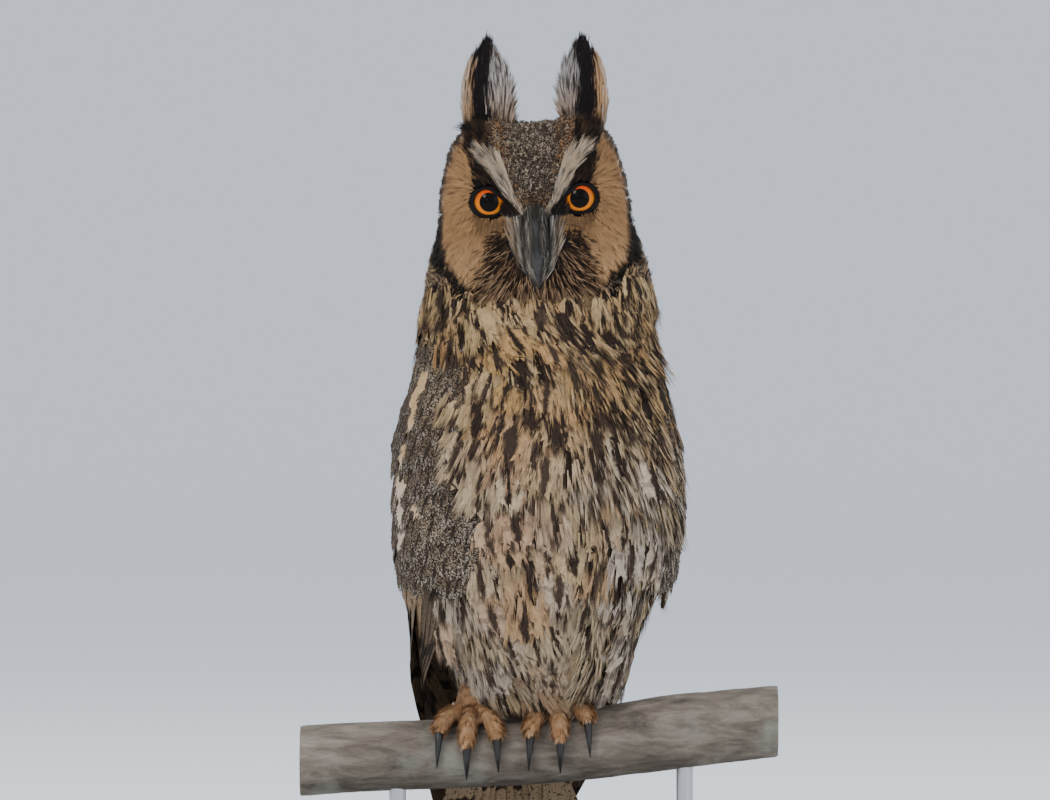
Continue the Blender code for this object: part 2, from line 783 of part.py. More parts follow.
def wing_shell(name, side, top, tip, inner, outer, rows=18, across=9):
    """A curved plate that follows the body's side, from the shoulder to a height near the tip."""
    sign = 1 if side == "left" else -1
    rings = []
    for r in range(rows + 1):
        t = r / rows
        z = top + (tip - top) * t
        front, back = wing_edges[side](z)
        taper = smoothstep(0.0, 0.06, t + 0.01) * smoothstep(1.0, 0.97, t - 0.005)
        ring = []
        for pass_inner in (False, True):
            for i in range(across):
                s = i / (across - 1)
                if pass_inner:
                    s = 1 - s
                angle = math.radians(front + (back - front) * s)
                edge = math.sin(math.pi * (0.12 + 0.76 * s)) * taper
                middle = (inner + outer) / 2
                half = (outer - inner) / 2 * min(1.0, 0.25 + edge)
                lift = middle - half if pass_inner else middle + half
                ring.append(body_point(z, sign * angle, lift))
        rings.append(ring)
    return loft(name, rings)


def wing_vane(side, root, tip, width, lift, tilt, stations=VANE_STATIONS, columns=3):
    """One feather of the folded wing.

    root and tip are (height, share of the way from the wing's front edge to its back edge).
    lift gives the height over the body's outline by height and place along the feather; tilt
    raises the front edge, as on a shingle, because each feather lies on the next one forward.
    """
    sign = 1 if side == "left" else -1
    grid = [[] for _ in range(columns)]
    for t, share in stations:
        z = root[0] + (tip[0] - root[0]) * t
        place = root[1] + (tip[1] - root[1]) * t
        front, back = wing_edges[side](z)
        _, half_width, front_y, back_y = body_at(z)
        girth = (half_width + (back_y - front_y) / 2) / 2
        for c in range(columns):
            offset = (2 * c / (columns - 1) - 1) * width / 2 * share
            angle = math.radians(front + (back - front) * place) + offset / girth
            slant = tilt * offset * smoothstep(0.0, 0.2, t)
            grid[c].append(body_point(z, sign * angle, lift(z, t) - slant))
    return plate("vane", grid, [VANE_THICKNESS] * len(stations))


def primary_lift(k):
    """Primaries fan at the wing's edge, dive under the secondaries and come out at the tip."""
    deep = PRIMARIES - 1 - k

    def lift(z, t):
        high = PRIMARY_EDGE_LIFT + PRIMARY_PILE_STEP * k
        hidden = PRIMARY_HIDDEN_LIFT - PRIMARY_PILE_STEP * deep
        clear = PRIMARY_CLEAR_LIFT - PRIMARY_PILE_STEP * deep
        at_edge = high + (hidden - high) * smoothstep(*PRIMARY_DIVE_Z, z)
        value = at_edge + (clear - at_edge) * smoothstep(*PRIMARY_CLEAR_Z, z)
        return HAND_LIFT + (value - HAND_LIFT) * smoothstep(0.0, 0.2, t)

    return lift


def rising_lift(start, end, by=0.35):
    return lambda z, t: start + (end - start) * smoothstep(0.0, by, t)


def wing_vanes(side):
    """All feathers of a folded wing, tier by tier, each with its root in the arm or hand."""
    for k in range(PRIMARIES):
        root = (PRIMARY_ROOT_Z, PRIMARY_ROOT_PLACE[0] + PRIMARY_ROOT_PLACE[1] * k)
        tip = (PRIMARY_TIPS[k], PRIMARY_TIP_PLACE[0] + PRIMARY_TIP_PLACE[1] * k)
        length = root[0] - tip[0]
        stations = [((root[0] - z) / length, share) for z, share in PRIMARY_LEVELS]
        stations.append((1.0, PRIMARY_TIP_SHARE))
        yield wing_vane(side, root, tip, PRIMARY_WIDTH, primary_lift(k), 0.0, stations)
    for count, root, root_step, tip, tip_step, width, low, high, tilt, stations, columns in WING_TIERS:
        for k in range(count):
            start = (root[0] + root_step[0] * k, root[1] + root_step[1] * k)
            end = (tip[0] + tip_step[0] * k, tip[1] + tip_step[1] * k)
            lift = rising_lift(low, high)
            yield wing_vane(side, start, end, width, lift, tilt, stations, columns)


def wing(side):
    """A folded wing: the arm with its tiers of feathers."""
    thing = wing_shell("wing_" + side, side, WING_TOP_Z, WING_ARM_END_Z, *ARM_SIDES, 7, 8)
    return combine(thing, list(wing_vanes(side)), "UNION", "MANIFOLD")


def tail_point(z, across, lift=0.0):
    """A point of the tail's upper side, which arches across and slopes back as it hangs."""
    y = TAIL_ROOT_Y + (TAIL_ROOT_Z - z) * TAIL_SLOPE - across**2 / (2 * TAIL_CURVE_RADIUS)
    nx = across / TAIL_CURVE_RADIUS
    size = math.hypot(nx, 1.0)
    return turned(across + lift * nx / size, y + lift / size, z)


def tail_slab(name, top, bottom, half_width, under, over, rows=6, edge_drop=0.0):
    """A smooth arched plate along the tail; half_width reads a number from 0 to 1."""
    rings = []
    for t in np.linspace(0, 1, rows):
        z = top + (bottom - top) * t
        half = half_width(t)
        ring = []
        for s in np.linspace(-1, 1, 7):
            ring.append(tail_point(z, half * s, over - edge_drop * s * s))
        for s in np.linspace(1, -1, 7):
            ring.append(tail_point(z, half * s, under))
        rings.append(ring)
    return loft(name, rings)


def tail_vane(k, sign):
    """One tail feather; the middle pair lies on top, and each next one lies under it."""
    root = 2.0 + 1.6 * k
    tip = 4.0 + 5.2 * k
    low = TAIL_TIP_Z + 0.4 * k * k
    grid = [[], [], []]
    for t, share in TAIL_STATIONS:
        z = TAIL_QUILL_Z + (low - TAIL_QUILL_Z) * t
        middle = root + (tip - root) * smoothstep(-0.2, 1.0, t)
        for c in range(3):
            offset = (c - 1) * TAIL_FEATHER_WIDTH / 2 * share * (0.7 + 0.3 * t)
            lift = -0.4 * k + 0.16 * offset - (TAIL_SIDE_STEP if sign < 0 else 0.0)
            lift = -1.8 + (lift + 1.8) * smoothstep(0.0, 0.25, t)
            grid[c].append(tail_point(z, sign * (middle + offset), lift))
    return plate("vane", grid, [VANE_THICKNESS] * len(TAIL_STATIONS))


def tail():
    """The root of the tail with its twelve feathers in a shallow arch."""
    thing = tail_slab("tail", TAIL_ROOT_Z - 4, TAIL_CORE_END_Z, lambda t: 16 - 3 * t, -5.0, 0.8)
    vanes = [tail_vane(k, sign) for k in range(TAIL_FEATHERS) for sign in (1, -1)]
    combine(thing, vanes, "UNION", "MANIFOLD")
    return combine(thing, [torso(GAP)], "DIFFERENCE", "MANIFOLD")


def perch_axis(x):
    """Height of the middle of the branch at a place along it."""
    return PERCH_AXIS_Z + PERCH_SLOPE * x - PERCH_BOW * math.cos(math.pi * x / PERCH_ENDS[1]) + PERCH_BOW


def perch_radius(x, turn):
    knot = 1.4 * bump(x - 62, 16.0) * bump(math.sin(turn / 2 - 0.4), 0.5)
    return PERCH_RADIUS + 0.5 * math.sin(2 * turn + x / 40) + 0.4 * math.cos(3 * turn - x / 55) + knot


def perch(name="perch", extra=0.0, rows=10, sides=14):
    """The cut length of branch, with sawn ends and a knot."""
    rings = []
    for x in np.linspace(PERCH_ENDS[0] - extra, PERCH_ENDS[1] + extra, rows + 1):
        ring = []
        for i in range(sides):
            turn = 2 * math.pi * i / sides
            radius = perch_radius(x, turn) + extra
            ring.append((x, -radius * math.sin(turn), perch_axis(x) + radius * math.cos(turn)))
        rings.append(ring)
    return loft(name, rings)


def toe_path(place, spread, start, end, over, count):
    """Points round the perch from one angle to another, where 0 is on top and 90 in front."""
    path = []
    for t in np.linspace(0, 1, count):
        angle = math.radians(start + (end - start) * t)
        x = place + spread * math.sin(t * math.pi / 2)
        reach = PERCH_RADIUS + over
        path.append((x, -reach * math.sin(angle), perch_axis(x) + reach * math.cos(angle)))
    return path


def toe(place, spread, end):
    path = toe_path(place, spread, 0.0, end, TOE_RADIUS - 0.6, 6)
    swell = (1.05, 1.1, 0.98, 1.04, 0.98, 0.66)
    radii = [(TOE_RADIUS * s, TOE_RADIUS * s) for s in swell]
    return tube("toe", path, radii, 6)


def claw(name, place, spread, end, extra=0.0):
    """A claw that leaves the toe's end and curves in to the bark."""
    sign = math.copysign(1, end)
    count = 5
    path = []
    radii = []
    for t in np.linspace(0, 1, count):
        angle = math.radians(end + sign * (-8 + (CLAW_SWEEP + 8) * t))
        reach = PERCH_RADIUS + 3.6 - 2.2 * t * t
        x = place + spread * (1 + 0.08 * t)
        path.append((x, -reach * math.sin(angle), perch_axis(x) + reach * math.cos(angle)))
        radii.append((CLAW_RADIUS * (1 - 0.88 * t), CLAW_RADIUS * 1.15 * (1 - 0.88 * t)))
    return tube(name, path, radii, 6, extra)


def foot(side):
    """The feathered toes and the ball of the foot, flush with the bark and open for the claws."""
    place = FOOT_PLACES[side]
    mirror = 1 if side == "left" else -1
    top = perch_axis(place) + PERCH_RADIUS
    thing = ball("foot_" + side, (place, 0.0, top + 5.0), 9.5, 10, 6)
    toes = [toe(place, mirror * spread, end) for _, spread, end in TOES]
    combine(thing, toes, "UNION")
    cutters = [perch("cut", GAP), leg_column("cut", side, GAP)]
    for _, spread, end in TOES:
        cutters.append(claw("cut", place, mirror * spread, end, GAP))
    return combine(thing, cutters, "DIFFERENCE")


def leg_column(name, side, extra=0.0):
    """The feathered shank as a column from the foot up into the belly."""
    place = FOOT_PLACES[side]
    floor = perch_axis(place) + PERCH_RADIUS + LEG_FLOOR_OVER_PERCH - extra
    rings = []
    for t in np.linspace(0, 1, 5):
        z = floor + (LEG_TOP_Z - floor) * t
        radius = 8.6 + 2.5 * t + extra
        middle = (place * (1 - 0.35 * t), -1.0 + 5 * t)
        ring = []
        for i in range(14):
            turn = 2 * math.pi * i / 14
            ring.append((middle[0] + radius * math.cos(turn), middle[1] + 1.1 * radius * math.sin(turn), z))
        rings.append(ring)
    return loft(name, rings)


def leg(side):
    thing = leg_column("leg_" + side, side)
    return combine(thing, [torso(GAP)], "DIFFERENCE")


def stand_base():
    """A round turned base with a softened edge."""
    work = bmesh.new()
    bmesh.ops.create_cone(
        work,
        cap_ends=True,
        segments=36,
        radius1=BASE_RADIUS * MM,
        radius2=BASE_RADIUS * MM,
        depth=BASE_HEIGHT * MM,
    )
    bmesh.ops.translate(work, verts=work.verts, vec=(0, 0, BASE_HEIGHT * MM / 2))
    rim = [e for e in work.edges if all(v.co.z > BASE_HEIGHT * MM * 0.9 for v in e.verts)]
    bmesh.ops.bevel(work, geom=rim, offset=BASE_BEVEL * MM, segments=2, affect="EDGES", profile=0.5)
    mesh = bpy.data.meshes.new("stand_base")
    work.to_mesh(mesh)
    work.free()
    thing = bpy.data.objects.new("stand_base", mesh)
    bpy.context.scene.collection.objects.link(thing)
    return thing


def stand_rod(name, place):
    """A round rod from the base up to the underside of the perch."""
    low = BASE_HEIGHT + GAP
    high = perch_axis(place)
    rings = []
    for z in (low, high):
        ring = []
        for i in range(20):
            turn = 2 * math.pi * i / 20
            ring.append((place + ROD_RADIUS * math.cos(turn), ROD_RADIUS * math.sin(turn), z))
        rings.append(ring)
    thing = loft(name, rings)
    return combine(thing, [perch("cut", GAP)], "DIFFERENCE")


def finish(thing, colour, roughness, metallic=0.0):
    """Gives a node its own material and smooth shading."""
    material = bpy.data.materials.new(thing.name)
    material.use_nodes = True
    shader = material.node_tree.nodes["Principled BSDF"]
    shader.inputs["Base Color"].default_value = (*colour, 1.0)
    shader.inputs["Roughness"].default_value = roughness
    shader.inputs["Metallic"].default_value = metallic
    thing.data.materials.clear()
    thing.data.materials.append(material)
    thing.data.shade_smooth()
    thing.data.set_sharp_from_angle(angle=math.radians(35))
    for owner in list(thing.users_collection):
        owner.objects.unlink(thing)
    bpy.data.collections["long_eared_owl"].objects.link(thing)


BUFF = (0.42, 0.26, 0.13)
GREY_BROWN = (0.16, 0.12, 0.085)
DARK_BROWN = (0.05, 0.035, 0.025)
TAN = (0.50, 0.28, 0.13)
HORN = (0.03, 0.03, 0.035)
ORANGE = (0.80, 0.25, 0.02)
BARK = (0.20, 0.17, 0.13)
STEEL = (0.55, 0.55, 0.57)
EBONY = (0.03, 0.025, 0.02)


def main():
    for thing in list(bpy.data.objects):
        remove(thing)
    bpy.context.scene.collection.children.link(bpy.data.collections.new("long_eared_owl"))
    finish(torso(), BUFF, 0.9)
    finish(neck(), BUFF, 0.9)
    finish(head(), TAN, 0.9)
    finish(bill_upper(), HORN, 0.35)
    finish(bill_lower(), HORN, 0.35)
    for side, sign in (("left", 1), ("right", -1)):
        finish(move_to_head(eye("eye_" + side, sign)), ORANGE, 0.05)
        finish(tuft(side), DARK_BROWN, 0.9)
        finish(wing(side), GREY_BROWN, 0.85)
        finish(leg(side), TAN, 0.9)
        finish(foot(side), TAN, 0.9)
        mirror = 1 if side == "left" else -1
        for toe_name, spread, end in TOES:
            name = "claw_" + side + "_" + toe_name
            thing = claw(name, FOOT_PLACES[side], mirror * spread, end)
            combine(thing, [perch("cut", GAP)], "DIFFERENCE")
            finish(thing, HORN, 0.3)
    finish(tail(), GREY_BROWN, 0.85)
    finish(perch(), BARK, 0.85)
    finish(stand_base(), EBONY, 0.4)
    for side, place in zip(("right", "left"), ROD_PLACES):
        finish(stand_rod("stand_rod_" + side, place), STEEL, 0.3, 1.0)


main()
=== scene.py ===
"""A long-eared owl in its plumage, gripping a cut branch on a plain turned stand.

Lengths are worked out in millimetres, as in the solids, and become metres where a mesh is
made. +Z is up, the owl faces -Y, and its own left is at +X.
"""

import math

import bmesh
import bpy
import numpy as np
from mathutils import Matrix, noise


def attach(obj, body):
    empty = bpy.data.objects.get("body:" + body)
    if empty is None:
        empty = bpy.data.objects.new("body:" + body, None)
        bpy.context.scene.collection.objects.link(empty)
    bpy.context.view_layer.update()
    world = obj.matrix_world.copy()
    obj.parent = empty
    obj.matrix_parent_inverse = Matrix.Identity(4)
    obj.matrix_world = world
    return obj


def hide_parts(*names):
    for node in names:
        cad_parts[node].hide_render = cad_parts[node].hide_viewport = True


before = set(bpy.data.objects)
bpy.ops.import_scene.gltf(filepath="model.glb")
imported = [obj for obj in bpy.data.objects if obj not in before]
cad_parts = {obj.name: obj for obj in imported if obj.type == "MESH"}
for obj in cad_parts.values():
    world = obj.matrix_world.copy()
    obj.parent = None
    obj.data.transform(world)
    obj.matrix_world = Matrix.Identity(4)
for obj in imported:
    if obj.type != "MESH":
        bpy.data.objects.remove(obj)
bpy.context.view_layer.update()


# Studio
# A long lens looks level at the owl from four metres off, with a pale sweep of floor behind
# it. Broad soft lamps stand in for the overcast sky that lit the bird from over its head.
CAMERA_DISTANCE = 4.0
SENSOR_WIDTH = 36.0
VIEW_WIDTH = 0.4935
VIEW_CENTRE = (-0.0056, 0.2615)
FACE_PLANE_Y = -0.03
LAMP_TARGET = (0.0, 0.0, 0.25)
FLOOR_RADIUS = 10.0
SWEEP_RADIUS = 3.0
FLOOR_COLOUR = (0.88, 0.90, 0.93)
SKY_COLOUR = (0.86, 0.92, 1.0)
SKY_STRENGTH = 0.95
LAMPS = (
    # name, place, width, watts, colour
    ("lamp_key", (-1.7, -2.6, 2.6), 1.0, 62.0, (1.0, 0.97, 0.93)),
    ("lamp_fill", (2.4, -2.4, 1.3), 2.0, 20.0, (0.93, 0.96, 1.0)),
    ("lamp_top", (0.4, 1.2, 3.0), 1.6, 50.0, (0.95, 0.98, 1.0)),
    ("lamp_catch", (-0.9, -3.0, 1.35), 0.14, 5.0, (1.0, 1.0, 1.0)),
)


def link(thing):
    bpy.context.scene.collection.objects.link(thing)
    return thing


def node(tree, kind, inputs=(), **settings):
    """Adds a node; inputs maps a socket's name or number to a value or to what feeds it."""
    made = tree.nodes.new(kind)
    for key, value in settings.items():
        setattr(made, key, value)
    for key, value in dict(inputs).items():
        if isinstance(value, bpy.types.NodeSocket):
            tree.links.new(value, made.inputs[key])
        else:
            made.inputs[key].default_value = value
    return made


class Look:
    """A material in the making, with short ways to add the nodes that feed its shader."""

    def __init__(self, name, roughness=0.5, **sockets):
        self.material = bpy.data.materials.new(name)
        self.material.use_nodes = True
        self.tree = self.material.node_tree
        self.shader = self.tree.nodes["Principled BSDF"]
        for key, value in {"Roughness": roughness, **sockets}.items():
            self.shader.inputs[key.replace("_", " ")].default_value = value

    def place(self, *scale):
        """The piece's own coordinates, stretched where a scale is given."""
        place = node(self.tree, "ShaderNodeTexCoord").outputs["Object"]
        if scale:
            return node(self.tree, "ShaderNodeMapping", {0: place, "Scale": scale}).outputs[0]
        return place

    def layer(self, name, socket="Color"):
        return node(self.tree, "ShaderNodeAttribute", attribute_name=name).outputs[socket]

    def uv(self, name):
        return node(self.tree, "ShaderNodeUVMap", uv_map=name).outputs[0]

    def parts(self, vector):
        return node(self.tree, "ShaderNodeSeparateXYZ", {0: vector}).outputs

    def vector(self, x, y, z=0.0):
        return node(self.tree, "ShaderNodeCombineXYZ", {0: x, 1: y, 2: z}).outputs[0]

    def noise(self, place, scale, detail, roughness=0.5, distortion=0.0):
        inputs = {"Vector": place, "Scale": scale, "Detail": detail}
        inputs.update({"Roughness": roughness, "Distortion": distortion})
        return node(self.tree, "ShaderNodeTexNoise", inputs).outputs["Fac"]

    def span(self, value, low, high, bottom=0.0, top=1.0, curve="LINEAR"):
        """Carries a value's range over to another one."""
        inputs = {"Value": value, "From Min": low, "From Max": high}
        inputs |= {"To Min": bottom, "To Max": top}
        return node(self.tree, "ShaderNodeMapRange", inputs, interpolation_type=curve).outputs[0]

    def maths(self, operation, first, second=0.0, third=0.0):
        inputs = {0: first, 1: second, 2: third}
        return node(self.tree, "ShaderNodeMath", inputs, operation=operation).outputs[0]

    def mixed(self, share, first, second, blend="MIX"):
        """Mixes two colours, each a tuple of three numbers or a socket."""
        pair = [(*c, 1.0) if isinstance(c, tuple) else c for c in (first, second)]
        inputs = {0: share, 6: pair[0], 7: pair[1]}
        made = node(self.tree, "ShaderNodeMix", inputs, data_type="RGBA", blend_type=blend)
        return made.outputs[2]

    def ramped(self, value, first, last, *between):
        """Colours along a value, from stops of a place and a colour."""
        ramp = node(self.tree, "ShaderNodeValToRGB", {"Fac": value})
        stops = ramp.color_ramp.elements
        for stop, (place, colour) in zip(stops, (first, last)):
            stop.position = place
            stop.color = (*colour, 1.0)
        for place, colour in between:
            stops.new(place).color = (*colour, 1.0)
        return ramp.outputs["Color"]

    def feed(self, socket, value):
        self.tree.links.new(value, self.shader.inputs[socket])

    def dress(self, colour, height, strength, depth):
        """Feeds the shader its colour, and a fine relief of some depth in metres."""
        inputs = {"Height": height, "Strength": strength, "Distance": depth}
        self.feed("Base Color", colour)
        self.feed("Normal", node(self.tree, "ShaderNodeBump", inputs).outputs["Normal"])
        return self.material


def aim(thing, target):
    """Points a lamp or camera's -Z at a place."""
    step = [t - p for t, p in zip(target, thing.location)]
    flat = math.hypot(step[0], step[1])
    thing.rotation_euler = (math.atan2(flat, -step[2]), 0.0, math.atan2(-step[0], step[1]))


camera = link(bpy.data.objects.new("camera", bpy.data.cameras.new("camera")))
camera.data.sensor_width = SENSOR_WIDTH
camera.data.lens = SENSOR_WIDTH * CAMERA_DISTANCE / VIEW_WIDTH
camera.data.clip_end = 40.0
camera.location = (VIEW_CENTRE[0], FACE_PLANE_Y - CAMERA_DISTANCE, VIEW_CENTRE[1])
camera.rotation_euler = (math.pi / 2, 0.0, 0.0)
bpy.context.scene.camera = camera

for lamp_name, lamp_place, lamp_width, lamp_watts, lamp_colour in LAMPS:
    lamp = link(bpy.data.objects.new(lamp_name, bpy.data.lights.new(lamp_name, "AREA")))
    lamp.data.size = lamp_width
    lamp.data.energy = lamp_watts
    lamp.data.color = lamp_colour
    lamp.location = lamp_place
    aim(lamp, LAMP_TARGET)

sky = bpy.data.worlds.new("sky")
sky.use_nodes = True
sky_light = sky.node_tree.nodes["Background"].inputs
sky_light["Color"].default_value = (*SKY_COLOUR, 1.0)
sky_light["Strength"].default_value = SKY_STRENGTH
bpy.context.scene.world = sky

floor_mesh = bmesh.new()
floor_profile = [(FLOOR_RADIUS * i / 8, 0.0) for i in range(9)]
for turn in (math.pi / 2 * i / 12 for i in range(1, 13)):
    rise = SWEEP_RADIUS * (1 - math.cos(turn))
    floor_profile.append((FLOOR_RADIUS + SWEEP_RADIUS * math.sin(turn), rise))
edge_points = [floor_mesh.verts.new((r, 0.0, z)) for r, z in floor_profile]
edge_lines = [floor_mesh.edges.new(pair) for pair in zip(edge_points, edge_points[1:])]
edge = edge_points + edge_lines
full_turn = {"cent": (0, 0, 0), "axis": (0, 0, 1), "angle": 2 * math.pi, "steps": 64}
bmesh.ops.spin(floor_mesh, geom=edge, **full_turn)
bmesh.ops.remove_doubles(floor_mesh, verts=floor_mesh.verts, dist=1e-4)
bmesh.ops.recalc_face_normals(floor_mesh, faces=floor_mesh.faces)
floor_data = bpy.data.meshes.new("floor")
floor_mesh.to_mesh(floor_data)
floor_mesh.free()
if floor_data.polygons[0].normal.z < 0:
    floor_data.flip_normals()
floor_data.shade_smooth()
floor = link(bpy.data.objects.new("floor", floor_data))
floor_data.materials.append(Look("pale_floor", 0.9, Base_Color=(*FLOOR_COLOUR, 1.0)).material)


# Stand base
# A disc of close-grained wood, turned on a lathe, stained nearly black and waxed. A fine
# groove runs round its top just inside the softened edge.
BASE_HEIGHT = 16.0
BASE_PROFILE = (
    # radius, height of the turned outline from the middle of the underside
    (0.0, 0.0),
    (117.5, 0.0),
    (119.2, 0.6),
    (120.0, 2.2),
    (120.0, 13.0),
    (119.4, 15.0),
    (117.8, 16.0),
    (109.4, 16.0),
    (108.9, 15.2),
    (108.1, 15.2),
    (107.6, 16.0),
    (60.0, 16.0),
    (0.0, 16.0),
)
WOOD_DARK = (0.010, 0.007, 0.005)
WOOD_LIGHT = (0.050, 0.030, 0.019)


def mesh_object(name, points, faces):
    """Makes a smooth mesh object from points in millimetres."""
    mesh = bpy.data.meshes.new(name)
    mesh.from_pydata((np.asarray(points, float) * 0.001).tolist(), [], faces)
    mesh.shade_smooth()
    return link(bpy.data.objects.new(name, mesh))


def grid_faces(rows, columns, wrap):
    """Quads between rows of points, closed round each row where wrap is set."""
    r = np.arange(rows - 1)[:, None] * columns
    c = np.arange(columns if wrap else columns - 1)[None, :]
    d = (c + 1) % columns
    quads = np.stack([r + c, r + d, r + columns + d, r + columns + c], axis=-1)
    return quads.reshape(-1, 4).tolist()


def round_turns(sides):
    """Angles evenly round a full turn."""
    return np.linspace(0, 2 * math.pi, sides, endpoint=False)


def tidy(thing):
    """Merges doubles and turns all faces outwards."""
    work = bmesh.new()
    work.from_mesh(thing.data)
    bmesh.ops.remove_doubles(work, verts=work.verts, dist=1e-6)
    bmesh.ops.recalc_face_normals(work, faces=work.faces)
    if work.calc_volume(signed=True) < 0:
        bmesh.ops.reverse_faces(work, faces=work.faces)
    work.to_mesh(thing.data)
    work.free()
    return thing


def finish(thing, material, nodes):
    """Gives a piece its material and ties it to the solids that it stands for."""
    thing.data.materials.clear()
    thing.data.materials.append(material)
    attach(thing, "root")
    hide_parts(*nodes)
    return thing


def turned_piece(name, profile, segments=128, middle_x=0.0):
    """A lathe-turned piece from radii and heights in millimetres."""
    turns = round_turns(segments)
    points = [(middle_x + r * math.cos(a), r * math.sin(a), z) for r, z in profile for a in turns]
    thing = tidy(mesh_object(name, points, grid_faces(len(profile), segments, True)))
    thing.data.set_sharp_from_angle(angle=math.radians(28))
    return thing


wood = Look("stained_wood", 0.33, Coat_Weight=0.25, Coat_Roughness=0.2)
wood_grain = wood.noise(wood.place(4.0, 55.0, 55.0), 3.0, 8.0, 0.62, 0.35)
wood_tone = wood.ramped(wood_grain, (0.34, WOOD_DARK), (0.68, WOOD_LIGHT))
stained_wood = wood.dress(wood_tone, wood_grain, 0.08, 0.0006)
finish(turned_piece("base_turned", BASE_PROFILE), stained_wood, ["stand_base"])


# Perch
# A cut length of branch, grey-brown bark with shallow cracks, small knots and pores, and
# both ends sawn square, where the pale wood shows its rings.
PERCH_AXIS_Z = 96.0
PERCH_SLOPE = 0.084
PERCH_RADIUS = 17.0
PERCH_ENDS = (-112.0, 114.0)
PERCH_BOW = 2.0
BARK_DEPTH = 0.5
BARK_DARK = (0.055, 0.043, 0.033)
BARK_MIDDLE = (0.150, 0.122, 0.095)
BARK_PALE = (0.290, 0.250, 0.205)
LICHEN = (0.26, 0.27, 0.22)
SAWN_PALE = (0.430, 0.300, 0.180)
SAWN_DARK = (0.260, 0.160, 0.085)
RING_CENTRE_Z = 0.0965


def smooth(low, high, value):
    """Eases from 0 to 1 as a value goes from low to high."""
    t = np.clip((value - low) / (high - low), 0.0, 1.0)
    return t * t * (3 - 2 * t)


def bump(distance, width):
    return np.exp(-((distance / width) ** 2))


def perch_axis(x):
    """Height of the middle of the branch at a place along it."""
    bow = PERCH_BOW * np.cos(math.pi * x / PERCH_ENDS[1])
    return PERCH_AXIS_Z + PERCH_SLOPE * x - bow + PERCH_BOW


def round_perch(x, turn, reach):
    """Points at a distance from the branch's middle; turn 0 is on top, and it grows forwards."""
    return np.stack([x, -reach * np.sin(turn), perch_axis(x) + reach * np.cos(turn)], axis=-1)


def perch_radius(x, turn):
    knot = 1.4 * bump(x - 62, 16.0) * bump(np.sin(turn / 2 - 0.4), 0.5)
    return PERCH_RADIUS + 0.5 * np.sin(2 * turn + x / 40) + 0.4 * np.cos(3 * turn - x / 55) + knot


def bark_relief(x, turn):
    """Depth of the bark's cracks and pores at a place along and round the branch."""
    around = (math.cos(turn) * 9.0, math.sin(turn) * 9.0)
    cracks = noise.fractal((x * 0.055, *[c * 0.42 for c in around]), 0.9, 2.1, 6)
    pores = noise.noise((x * 0.55, around[0] * 0.9, around[1] * 0.9 + 7.0))
    return -abs(cracks) * 1.2 - 0.35 * max(0.0, pores - 0.25)


perch_turns = round_turns(150)
perch_steps = np.linspace(*PERCH_ENDS, 260)
perch_points = []
for x in perch_steps:
    near_end = min(x - PERCH_ENDS[0], PERCH_ENDS[1] - x)
    worn = -0.5 * math.exp(-near_end / 0.8)
    for turn in perch_turns:
        radius = perch_radius(x, turn) - 0.1 + BARK_DEPTH * bark_relief(x, turn) + worn
        perch_points.append(round_perch(x, turn, radius))
perch_faces = grid_faces(len(perch_steps), len(perch_turns), True)
for end in (0, len(perch_steps) - 1):
    rim = end * len(perch_turns)
    middle = len(perch_points)
    perch_points.append((perch_steps[end], 0.0, float(perch_axis(perch_steps[end]))))
    for i in range(len(perch_turns)):
        perch_faces.append((rim + i, rim + (i + 1) % len(perch_turns), middle))
branch = tidy(mesh_object("branch", perch_points, perch_faces))
branch.data.set_sharp_from_angle(angle=math.radians(50))

bark = Look("bark", 0.88)
flakes = bark.noise(bark.place(22.0, 75.0, 75.0), 1.6, 9.0, 0.68, 0.5)
bark_tone = bark.ramped(flakes, (0.32, BARK_DARK), (0.72, BARK_PALE), (0.50, BARK_MIDDLE))
lichen_share = bark.span(bark.noise(bark.place(), 34.0, 5.0, 0.6), 0.56, 0.70, top=0.55)
bark_tone = bark.mixed(lichen_share, bark_tone, LICHEN)
finish(branch, bark.dress(bark_tone, flakes, 0.6, 0.0009), ["perch"])

sawn = Look("sawn_wood", 0.8)
sawn_middle = {0: sawn.place(), "Location": (0.0, 0.0, -RING_CENTRE_Z), "Scale": (0.0, 1.0, 1.0)}
sawn_middle = node(sawn.tree, "ShaderNodeMapping", sawn_middle).outputs[0]
rings = {"Vector": sawn_middle, "Scale": 130.0, "Distortion": 2.2, "Detail": 2.0, "Detail Scale": 1.5}
rings = node(sawn.tree, "ShaderNodeTexWave", rings, wave_type="RINGS", rings_direction="X")
sawn_tone = sawn.mixed(rings.outputs["Fac"], SAWN_DARK, SAWN_PALE)
saw_marks = sawn.noise(sawn.place(), 60.0, 3.0)
branch.data.materials.append(sawn.dress(sawn_tone, saw_marks, 0.3, 0.0004))
for polygon in branch.data.polygons:
    if len(polygon.vertices) == 3 and abs(polygon.normal.x) > 0.9:
        polygon.material_index = 1


# Stand rods
# Two drawn steel rods, brushed along their length, pressed into the base and let into the
# underside of the branch.
ROD_RADIUS = 4.0
ROD_PLACES = {"right": -66.0, "left": 70.0}
ROD_SET_IN = 2.0
PART_GAP = 0.3
STEEL_DARK = (0.42, 0.42, 0.44)
STEEL_PALE = (0.62, 0.62, 0.63)

